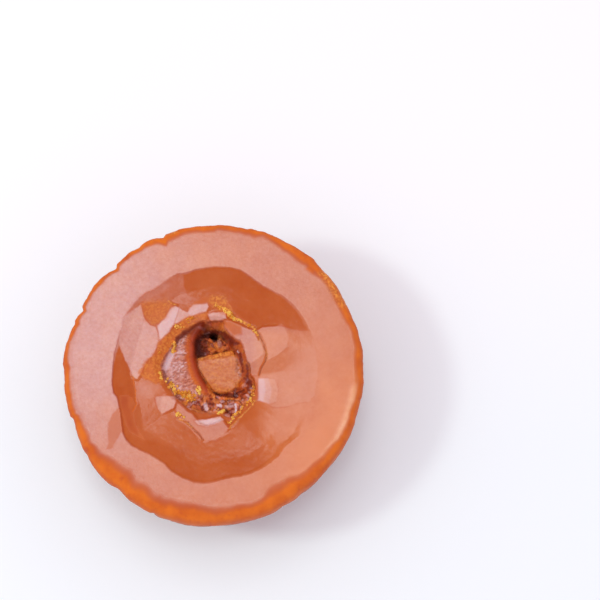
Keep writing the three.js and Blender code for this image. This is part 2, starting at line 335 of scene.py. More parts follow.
@dataclass(frozen=True)
class Patch:
    """A patch of another look on the set face.

    Attributes:
        zone: What it is made of.
        outline: Its corners.
        amount: How strong it is, 0 to 1.
        blur: How far it fades over its edge.
        rough: How ragged its edge is.
    """

    zone: Zone
    outline: Outline
    amount: float
    blur: float = 0.35
    rough: float = 0.25


@dataclass(frozen=True)
class Streak:
    """A crack or a streak along a path on the set face.

    Attributes:
        path: The points it runs through.
        width: Half its width.
        depth: How deep it is cut; below 0 it stands up.
        zone: What shows in it.
        amount: How strong that is.
    """

    path: Outline
    width: float
    depth: float
    zone: Zone
    amount: float = 1.0


@dataclass
class SetFace:
    """The flat face that set in the open, with its shallow dish. Depths count down from the face."""

    offset: Point = (0.5, -1.0)
    dish_middle: Point = (0.6, -0.3)
    dish_edge: Outline = (
        (-4.7, 35.7), (-0.3, 36.4), (5.3, 36.0), (8.7, 35.0), (12.0, 32.6), (16.0, 29.6), (18.7, 28.2),
        (22.0, 26.5), (24.7, 24.4), (27.0, 22.1), (29.0, 19.3), (30.7, 16.6), (31.7, 14.2), (33.0, 11.5),
        (34.3, 7.4), (35.0, 3.0), (34.7, -2.1), (33.7, -7.3), (32.3, -10.7), (30.3, -15.8), (28.3, -20.9),
        (25.3, -23.3), (23.0, -25.0), (21.3, -27.7), (18.7, -29.8), (15.7, -31.8), (12.0, -33.5),
        (8.7, -34.4), (4.7, -35.0), (0.3, -36.2), (-3.0, -36.7), (-6.3, -36.4), (-9.7, -35.2),
        (-14.0, -32.8), (-16.3, -30.1), (-18.7, -28.7), (-21.3, -27.0), (-24.7, -25.5), (-27.3, -24.0),
        (-29.0, -22.1), (-29.8, -20.2), (-30.3, -17.1), (-30.7, -13.7), (-31.7, -9.6), (-32.2, -7.9),
        (-33.3, -6.6), (-33.8, -3.9), (-33.8, -0.4), (-33.7, 4.0), (-33.2, 7.4), (-32.3, 10.8),
        (-31.7, 13.5), (-30.8, 15.9), (-30.8, 18.0), (-29.3, 20.3), (-27.7, 23.1), (-25.3, 25.8),
        (-23.0, 27.5), (-20.3, 28.5), (-18.7, 29.9), (-17.0, 31.4), (-15.3, 32.6), (-13.0, 33.8),
        (-9.7, 34.3), (-7.3, 35.2),
    )
    dish_steps: tuple[float, ...] = (0.0, 0.05, 0.15, 0.15, 0.12, 0.15, 0.18, 0.22, 0.25, 0.25, 0.2, 0.1)
    step_widths: tuple[float, ...] = (4.0, 2.0, 0.7, 0.6, 1.4, 2.4, 0.5, 0.5, 0.7, 0.8, 1.2, 3.0)
    # Painted shade along the dish's edge step, by angle.
    edge_shade_lines: tuple[float, ...] = (
        0.0, 0.0, 0.1, 0.35, 0.6, 0.5, 0.1, 0.75, 0.05, 0.0, 0.25, 0.9, 0.8, 0.7, 1.0, 0.3, 0.12, 0.12, 0.15,
        0.1, 0.1, 0.0, 0.0, 0.0,
    )
    outer_slopes: tuple[float, ...] = (2.0, 8.0, 9.5, 9.0, 8.0, 7.5, 9.5, 9.5, 9.0, 8.5, 8.0, 4.0)
    inner_slopes: tuple[float, ...] = (1.5, 7.0, 9.0, 7.5, 4.5, 3.0, 3.0, 5.5, 7.0, 7.0, 6.0, 2.5)
    outer_band: float = 6.5
    # Paleness round the flat band: pale skin and painted sheen, most at the upper left.
    band_bloom_and_sheen: tuple[float, ...] = (
        0.09, 0.20, 0.33, 0.36, 0.42, 0.60, 0.80, 0.84, 0.84, 0.62, 0.40, 0.30, 0.22, 0.15, 0.05, 0.05,
    )
    # Warmth round the flat band; the high values at the right paint that side lighter, as painted light.
    band_warmth_and_light: tuple[float, ...] = (
        0.65, 0.45, 0.30, 0.30, 0.38, 0.25, 0.10, 0.10, 0.10, 0.15, 0.28, 0.35, 0.38, 0.50, 0.95, 0.95,
    )
    rim_reach: tuple[float, ...] = (
        2.3, 2.5, 2.7, 3.0, 3.1, 2.9, 2.8, 3.0, 2.3, 2.0, 1.8, 1.8, 1.8, 2.1, 2.9, 4.8, 5.6, 4.8, 4.0, 4.0,
        4.9, 3.8, 2.5, 2.2,
    )
    # A painted highlight: a soft peach band inside the rim at the lower right.
    peach_sheen_band: Outline = (
        (36.6, -27.4), (38.9, -24.4), (40.9, -20.9), (42.7, -17.0), (44.2, -12.8), (45.2, -8.8),
        (46.0, -4.6),
    )
    peach_sheen_end: Point = (1.0, -9.0)
    narrowest_step: float = 0.35
    dish_rough: float = 0.18
    plate_rough: float = 0.25
    mottling: tuple[Ripple, ...] = (Ripple(0.07, 7.0, 5), Ripple(0.06, 2.0, 7), Ripple(0.05, 0.9, 8))
    patches: tuple[Patch, ...] = (
        Patch(Zone.BLOOM, ((-30.3, -11.2), (-29.8, -14.1), (-29.3, -17.1), (-28.9, -19.6), (-30.6, -20.0),
                           (-31.5, -21.7), (-32.5, -23.4), (-32.8, -25.1), (-34.1, -25.5), (-35.3, -25.5),
                           (-34.5, -23.4), (-34.7, -21.7), (-35.0, -19.2), (-34.7, -16.6), (-33.3, -13.5),
                           (-31.7, -11.5)), 0.02),
        Patch(Zone.BLOOM, ((-30.8, 18.6), (-24.0, 27.0), (-18.7, 29.9), (-13.0, 33.8), (-10.7, 33.9),
                           (-10.7, 30.0), (-9.3, 26.6), (-5.7, 25.4), (-8.0, 23.5), (-14.0, 24.0),
                           (-24.5, 24.4)), 0.17, 0.3),
        Patch(Zone.BLOOM, ((-29.3, 20.3), (-25.3, 25.8), (-20.3, 28.5), (-17.0, 31.4), (-15.5, 29.5),
                           (-20.0, 26.5), (-25.0, 24.0)), 0.36, 1.5),
        Patch(Zone.BLOOM, ((-27.0, -1.0), (-19.5, 4.0), (-18.0, -5.0), (-19.8, -8.0), (-19.0, -12.5),
                           (-13.0, -13.4), (-9.0, -17.0), (-4.0, -22.4), (0.7, -22.8), (7.0, -17.0),
                           (15.0, -14.0), (12.0, -26.0), (0.0, -27.5), (-8.0, -27.6), (-12.0, -26.0),
                           (-16.3, -23.6), (-24.3, -21.6), (-25.5, -19.0), (-27.0, -16.0), (-25.7, -9.5)),
              0.05, 0.7),
        Patch(Zone.BLOOM, ((15.0, -10.0), (33.0, -9.0), (33.7, -7.3), (30.3, -15.8), (28.3, -20.9),
                           (23.0, -25.0), (18.0, -20.0)), 0.07, 4.0),
        Patch(Zone.BLOOM, ((-24.7, -3.6), (-21.0, -4.1), (-20.0, -7.1), (-22.0, -8.1), (-25.0, -6.6)), 0.22,
              1.0),
        Patch(Zone.WARM, ((15.0, -9.0), (36.0, -8.0), (34.0, -18.0), (26.0, -27.0), (18.0, -30.0),
                          (14.0, -20.0)), 0.62, 5.0),
        Patch(Zone.WARM, ((13.0, 15.0), (33.0, 14.0), (35.0, 2.0), (34.0, -9.0), (14.0, -9.0)), 0.5, 2.0),
        Patch(Zone.WARM, ((-27.0, 0.0), (-19.0, 4.0), (-17.0, -6.0), (-10.0, -14.0), (0.0, -20.0),
                          (10.0, -16.0), (14.0, -24.0), (0.0, -27.0), (-14.0, -24.0), (-24.0, -20.0),
                          (-26.0, -10.0)), 0.3, 1.5),
        Patch(Zone.AMBER, ((-30.8, -7.8), (-28.6, -7.4), (-27.0, -7.8), (-26.2, -9.4), (-25.4, -10.8),
                           (-26.2, -13.1), (-26.4, -15.5), (-25.7, -17.5), (-24.0, -19.8), (-22.4, -22.2),
                           (-25.0, -21.4), (-27.7, -19.4), (-29.0, -16.7), (-29.8, -12.2)), 0.3, 0.7),
        Patch(Zone.AMBER, ORANGE_BAND, 0.75, 0.8),
        Patch(Zone.RED, ORANGE_BAND, 0.45, 0.8),
        Patch(Zone.SYRUP_AND_SHADE, ORANGE_BAND, 0.17, 0.8),
        Patch(Zone.AMBER, DARK_CORNER, 0.4, 0.4),
        # Painted highlights: whitish patches on plates and at the front of the pit.
        Patch(Zone.PAINTED_GLINT, ((-19.3, 16.3), (-16.7, 18.7), (-14.7, 22.5), (-12.0, 22.5), (-12.6, 20.4),
                           (-13.6, 17.4), (-17.0, 12.6), (-18.3, 11.5), (-18.7, 13.6)), 0.27, 0.5),
        Patch(Zone.PAINTED_GLINT, ((-9.3, 21.1), (-7.3, 23.5), (-2.7, 24.2), (-3.0, 21.4), (-8.0, 19.7)), 0.18, 0.5),
        Patch(Zone.PAINTED_GLINT, ((-5.6, -15.8), (-2.1, -16.9), (1.4, -15.8), (2.6, -15.0), (-1.7, -15.0)), 0.4,
              0.4),
        Patch(Zone.PAINTED_GLINT, ((14.4, -1.8), (17.6, -1.6), (18.8, -5.0), (18.0, -10.0), (14.4, -8.9)), 0.2,
              0.35),
        Patch(Zone.PAINTED_GLINT, ((14.4, -1.8), (16.2, -1.8), (16.8, -5.0), (16.0, -9.3), (14.4, -8.9)), 0.48,
              0.45),
        Patch(Zone.AMBER, GRAINY_CORNER, 0.40, 1.2, 0.8),
        Patch(Zone.AMBER, ((-9.3, 21.3), (-7.3, 23.6), (-4.7, 26.1), (1.3, 26.8), (4.0, 24.7), (6.0, 20.5),
                           (12.0, 16.5), (2.0, 20.5), (-2.7, 24.3), (-5.3, 23.9), (-8.7, 22.6)), 0.5, 0.9,
              0.6),
        Patch(Zone.GRAIN, GRAINY_CORNER, 0.22, 1.4, 0.9),
        Patch(Zone.GRAIN, ((-2.7, 24.9), (-1.4, 26.7), (2.8, 27.0), (4.6, 22.9), (5.8, 20.6), (3.0, 21.6),
                           (0.0, 22.9)), 0.4, 0.9, 0.9),
        Patch(Zone.GRAIN, ((36.0, 35.7), (38.7, 32.3), (41.3, 27.8), (44.7, 23.4), (42.0, 21.6),
                           (39.2, 25.9), (36.6, 30.4), (34.2, 34.1)), 0.7, 1.0, 0.6),
        Patch(Zone.AMBER, ((-17.0, 46.4), (-15.8, 49.6), (-11.8, 50.2), (-11.2, 49.0), (-12.8, 47.6),
                           (-14.5, 46.8)), 1.0, 0.4),
        Patch(Zone.GRAIN, ((-17.0, 46.8), (-15.8, 49.6), (-12.8, 50.0), (-12.6, 48.4), (-14.5, 47.4)), 0.5,
              0.5),
        Patch(Zone.AMBER, ((-24.4, 44.5), (-20.5, 45.8), (-16.6, 46.2), (-18.5, 44.6), (-23.4, 42.9)), 0.9,
              0.4),
        Patch(Zone.AMBER, ((-35.0, 35.6), (-32.6, 38.3), (-30.6, 38.6), (-32.0, 36.2), (-34.6, 33.8)), 0.9,
              0.4),
        Patch(Zone.AMBER, ((31.0, 36.8), (33.8, 35.0), (32.5, 33.7), (30.0, 35.4)), 1.0, 0.8),
        Patch(Zone.AMBER, PIT_COLLAR, 0.62, 0.5, 0.6),
        Patch(Zone.GRAIN, PIT_COLLAR, 0.28, 0.7, 0.8),
        Patch(Zone.BLOOM, ((-9.6, 18.6), (-6.3, 19.9), (-3.6, 20.2), (-3.4, 18.6), (-6.0, 17.9),
                           (-9.0, 16.8)), 0.5, 0.9, 0.9),
    )
    plates: tuple[Plate, ...] = (
        Plate(((-30.7, 18.3), (-27.7, 21.2), (-24.7, 23.5), (-24.2, 21.0), (-23.3, 18.6), (-21.7, 16.6),
               (-19.7, 15.9), (-19.0, 13.8), (-18.7, 10.8), (-19.7, 8.0), (-20.7, 6.0), (-22.4, 4.2),
               (-23.6, 1.8), (-24.7, -0.5), (-25.7, -1.7), (-26.7, -1.4), (-28.3, 1.9), (-29.7, 4.6),
               (-30.7, 7.0), (-31.7, 9.7), (-32.2, 11.4), (-31.7, 13.5), (-30.8, 15.9)), 1.05, (0.03, 0.0),
              0.74),
        Plate(((13.7, 14.9), (16.0, 16.0), (18.7, 16.1), (20.7, 16.3), (23.0, 16.0), (25.3, 15.1),
               (27.7, 14.6), (31.0, 14.3), (31.7, 14.2), (33.4, 7.4), (34.0, 3.0), (33.7, -2.1),
               (33.0, -7.3), (31.0, -9.6), (27.0, -10.0), (24.7, -10.9), (22.0, -11.3), (19.3, -11.3),
               (17.7, -10.3), (16.0, -9.2), (14.3, -8.9), (14.4, -1.8), (15.0, 1.6), (16.7, 4.4),
               (17.0, 6.8), (16.0, 10.2), (15.0, 12.6)), 1.6, (-0.05, 0.0), 0.22),
        Plate(((-19.3, 16.3), (-18.0, 17.7), (-16.7, 18.7), (-15.7, 21.1), (-14.7, 22.5), (-13.3, 23.1),
               (-12.0, 22.5), (-12.6, 20.4), (-13.6, 17.4), (-15.3, 14.3), (-17.0, 12.6), (-18.3, 11.5),
               (-18.7, 13.6)), 1.9, (-0.05, 0.03), 1.0),
        Plate(((-12.0, 22.5), (-11.0, 21.8), (-9.3, 21.1), (-8.7, 22.5), (-7.3, 23.5), (-5.3, 23.8),
               (-2.7, 24.2), (-2.3, 23.1), (-3.0, 21.4), (-4.7, 21.1), (-6.3, 20.4), (-8.0, 19.7),
               (-10.0, 19.0), (-12.0, 17.7), (-13.6, 16.8), (-12.6, 20.4)), 1.75, (0.03, 0.05), 0.9),
        Plate(((-2.6, 20.5), (-0.5, 21.1), (3.2, 21.4), (3.7, 18.9), (1.0, 18.4), (-1.7, 18.2)), 2.1,
              (0.0, 0.0), 0.78),
        Plate(((2.2, 18.5), (5.3, 18.1), (8.7, 16.4), (12.0, 15.1), (13.3, 13.7), (15.0, 12.0), (16.0, 9.6),
               (16.7, 6.9), (16.0, 4.5), (14.7, 1.8), (14.0, -0.6), (12.1, -0.6), (11.7, 1.8), (10.4, 4.6),
               (9.7, 7.6), (8.4, 10.9), (5.0, 13.2), (3.0, 15.9)), 2.2, (-0.01, 0.0), 0.42),
        Plate(DARK_CORNER, 2.2, (-0.01, 0.0), 0.10, 0.8, 0.8),
        Plate(((-19.7, -7.5), (-16.3, -7.2), (-13.3, -7.2), (-12.7, -8.9), (-13.3, -11.3), (-15.3, -12.3),
               (-17.3, -13.3), (-18.7, -11.6), (-19.3, -9.9)), 2.0, (0.0, 0.0), 0.62),
        Plate(((14.4, -1.8), (17.4, -1.5), (20.0, -1.9), (21.0, -5.4), (20.4, -9.6), (17.6, -10.3),
               (14.4, -8.9)), 1.75, (0.03, 0.0), 0.46, 0.8, 0.5),
        Plate(((-12.7, -8.9), (-11.0, -9.9), (-9.3, -12.0), (-7.3, -13.0), (-6.0, -14.7), (-4.7, -16.7),
               (-2.0, -17.1), (0.7, -16.1), (2.7, -15.4), (4.7, -18.1), (2.7, -20.2), (0.7, -22.2),
               (-3.0, -22.2), (-4.7, -20.5), (-6.3, -18.8), (-8.0, -16.7), (-9.7, -15.4), (-11.3, -14.4),
               (-12.7, -12.3)), 2.3, (0.0, 0.01), 0.18),
        Plate(((-6.8, -15.4), (-5.2, -17.1), (-2.1, -17.4), (1.4, -16.2), (3.2, -15.3), (1.9, -13.9),
               (-1.7, -14.6), (-4.8, -15.1)), 2.6, (0.0, 0.06), 0.95, 0.5, 0.35),
    )
    streaks: tuple[Streak, ...] = (
        Streak(((-0.3, 23.1), (2.0, 22.8), (3.7, 21.8)), 0.55, -0.15, Zone.GRAIN),
        Streak(((3.7, 21.8), (5.7, 19.7)), 0.95, -0.35, Zone.GRAIN),
        Streak(((5.7, 19.7), (7.3, 18.7), (8.7, 18.0), (11.0, 16.7), (12.7, 16.0)), 0.45, -0.15, Zone.GRAIN),
        Streak(((12.7, 16.0), (14.0, 13.6), (14.3, 11.9)), 0.5, -0.2, Zone.GRAIN),
        Streak(((13.7, 15.0), (15.0, 12.6), (16.0, 10.2), (17.0, 6.8), (16.7, 4.4), (15.3, 1.7),
                (14.7, -0.4)), 0.3, 0.18, Zone.SYRUP_AND_SHADE, 0.45),
        Streak(((16.7, 8.2), (17.2, 6.6), (16.8, 5.0)), 0.3, -0.1, Zone.GRAIN, 0.7),
        Streak(((-15.4, 24.6), (-14.2, 23.7), (-12.8, 23.2)), 0.3, -0.15, Zone.GRAIN),
        Streak(((-12.0, -14.7), (-10.3, -15.7), (-9.0, -16.1), (-7.4, -17.7)), 0.32, -0.12, Zone.GRAIN, 0.9),
        Streak(((-8.6, -15.9), (-7.0, -18.1), (-5.3, -19.8), (-3.7, -21.9)), 0.24, 0.15, Zone.SYRUP_AND_SHADE, 0.5),
        Streak(((4.7, -18.1), (7.3, -15.4), (9.7, -13.0), (12.0, -10.9), (13.3, -9.2)), 0.4, -0.1,
               Zone.GRAIN, 0.8),
        Streak(((-27.0, -1.2), (-26.3, -4.6), (-26.0, -7.3), (-25.7, -10.4), (-27.0, -12.7)), 0.22, 0.1,
               Zone.AMBER),
    )

    def dish_inward(self, x: Array, y: Array) -> tuple[Array, Array]:
        """Angle round the dish, and how far in from its edge each point is."""
        angle, _ = polar(x, y, self.dish_middle)
        wx, wy = self.ragged(x, y, self.dish_rough)
        return angle, inside_by(wx, wy, self.dish_edge)

    @staticmethod
    def ragged(x: Array, y: Array, amount: float) -> tuple[Array, Array]:
        """Points moved a little at random, so that straight outlines break unevenly."""
        return x + amount * Noise.waves(x, y, 1.9, 11, 3), y + amount * Noise.waves(x, y, 1.9, 31, 3)

    def depth(self, x: Array, y: Array) -> Array:
        """Depth of the dish with its plates and cracks, 0 on the flat band."""
        x, y = x - self.offset[0], y - self.offset[1]
        angle, inward = self.dish_inward(x, y)
        step = np.maximum(around(self.dish_steps, angle), 0.0)
        width = np.maximum(around(self.step_widths, angle), self.narrowest_step)
        depth = step * smooth(0.0, width, inward)
        depth += np.tan(np.radians(around(self.outer_slopes, angle))) * np.clip(inward, 0.0, self.outer_band)
        inner = np.tan(np.radians(around(self.inner_slopes, angle)))
        depth += inner * np.maximum(inward - self.outer_band, 0.0)
        depth = np.where(inward > 0.0, depth, 0.0)
        wx, wy = self.ragged(x, y, self.plate_rough)
        for plate in self.plates:
            ox, oy = plate.outline[0]
            top = plate.depth + plate.fall[0] * (x - ox) + plate.fall[1] * (y - oy)
            share = smooth(-plate.edge, 0.0, inside_by(wx, wy, plate.outline))
            depth = mix(depth, np.minimum(depth, top), share)
        for streak in self.streaks:
            gap = path_distance(wx, wy, streak.path)
            depth += streak.depth * smooth(streak.width, 0.2 * streak.width, gap)
        return depth

    def paint(self, x: Array, y: Array, edge_gap: Array) -> Zones:
        """What the set face is made of, apart from the pit, with painted sheen, highlight and shade on it.

        Args:
            x: Points across.
            y: Points along.
            edge_gap: How far the points are from the block's outline.

        Returns:
            The share of each zone.
        """
        turn, _ = polar(x, y)
        x, y = x - self.offset[0], y - self.offset[1]
        angle, inward = self.dish_inward(x, y)
        mottle = relief(x, y, self.mottling)
        edge = smooth(-0.15, np.maximum(around(self.step_widths, angle), 0.3) - 0.15, inward)
        zones = {zone: np.zeros(np.shape(x)) for zone in Zone}
        zones[Zone.BLOOM] = mix(around(self.band_bloom_and_sheen, turn), 0.02, edge)
        zones[Zone.WARM] = mix(around(self.band_warmth_and_light, turn), 0.15, edge)
        for patch in self.patches:
            px, py = self.ragged(x, y, patch.rough)
            share = smooth(-patch.blur, patch.blur, inside_by(px, py, patch.outline))
            turn_to(zones, patch.zone, patch.amount, share)
        wx, wy = self.ragged(x, y, self.plate_rough)
        uneven = np.clip(0.45 + 1.6 * Noise.waves(x, y, 5.0, 107, 2), 0.0, 1.0)
        for plate in self.plates:
            inside = inside_by(wx, wy, plate.outline)
            turn_to(zones, Zone.BLOOM, plate.bloom_and_sheen, smooth(-0.12, plate.blur, inside))
            outline = 0.4 * smooth(0.32, 0.06, np.abs(inside + 0.12)) * uneven * smooth(1.5, 4.0, inward)
            raise_to(zones, Zone.RED, outline)
        for streak in self.streaks:
            gap = path_distance(wx, wy, streak.path)
            raise_to(zones, streak.zone, smooth(streak.width, 0.3 * streak.width, gap) * streak.amount)
        # Painted peach highlight along the band inside the rim.
        peach_sheen = smooth(2.2, 0.0, path_distance(wx, wy, self.peach_sheen_band)) * smooth(*self.peach_sheen_end, y)
        turn_to(zones, Zone.BLOOM, 0.85, peach_sheen)
        turn_to(zones, Zone.WARM, 1.0, peach_sheen)
        # Painted shade: a thin dark line just inside the dish's edge.
        line = smooth(0.3, 0.05, np.abs(inward - 0.15)) * np.clip(around(self.edge_shade_lines, angle), 0.0, 1.0)
        raise_to(zones, Zone.RED, 0.6 * line)
        raise_to(zones, Zone.SYRUP_AND_SHADE, 0.22 * line)
        width = around(self.rim_reach, turn)
        reach = width + 0.35 * Noise.waves(x, y, 3.5, 91, 3) + 0.45 * width * Noise.waves(x, y, 11.0, 94, 2)
        fade = 0.3 + 0.55 * np.maximum(width - 1.4, 0.0)
        amber = smooth(reach + fade, reach - 0.4 - 0.5 * fade, edge_gap)
        raise_to(zones, Zone.AMBER, amber)
        blush = 1.5 * amber * (1.0 - amber) * smooth(1.8, 3.4, width)
        flecks = smooth(0.25, 0.6, Noise.waves(x, y, 2.4, 96, 2))
        lip = 0.25 * smooth(1.4, 0.2, edge_gap) + 0.3 * flecks * amber
        raise_to(zones, Zone.RED, np.maximum(blush, lip))
        zones[Zone.WARM] = zones[Zone.WARM] + mottle
        zones[Zone.BLOOM] = (zones[Zone.BLOOM] + mottle * (zones[Zone.BLOOM] > 0.05)) * (1.0 - amber)
        zones[Zone.BLOOM] = zones[Zone.BLOOM] * (1.0 - 0.9 * zones[Zone.GRAIN])
        return zones


# ---------------------------------------------------------------- the pit


@dataclass(frozen=True)
class Blot:
    """A spot or streak of another look in the pit, placed as it shows from the front.

    Attributes:
        zone: What it is made of.
        path: The points it runs through; one point alone makes a round spot.
        width: Half its width.
        amount: How strong it is, 0 to 1.
    """

    zone: Zone
    path: Outline
    width: float
    amount: float = 1.0


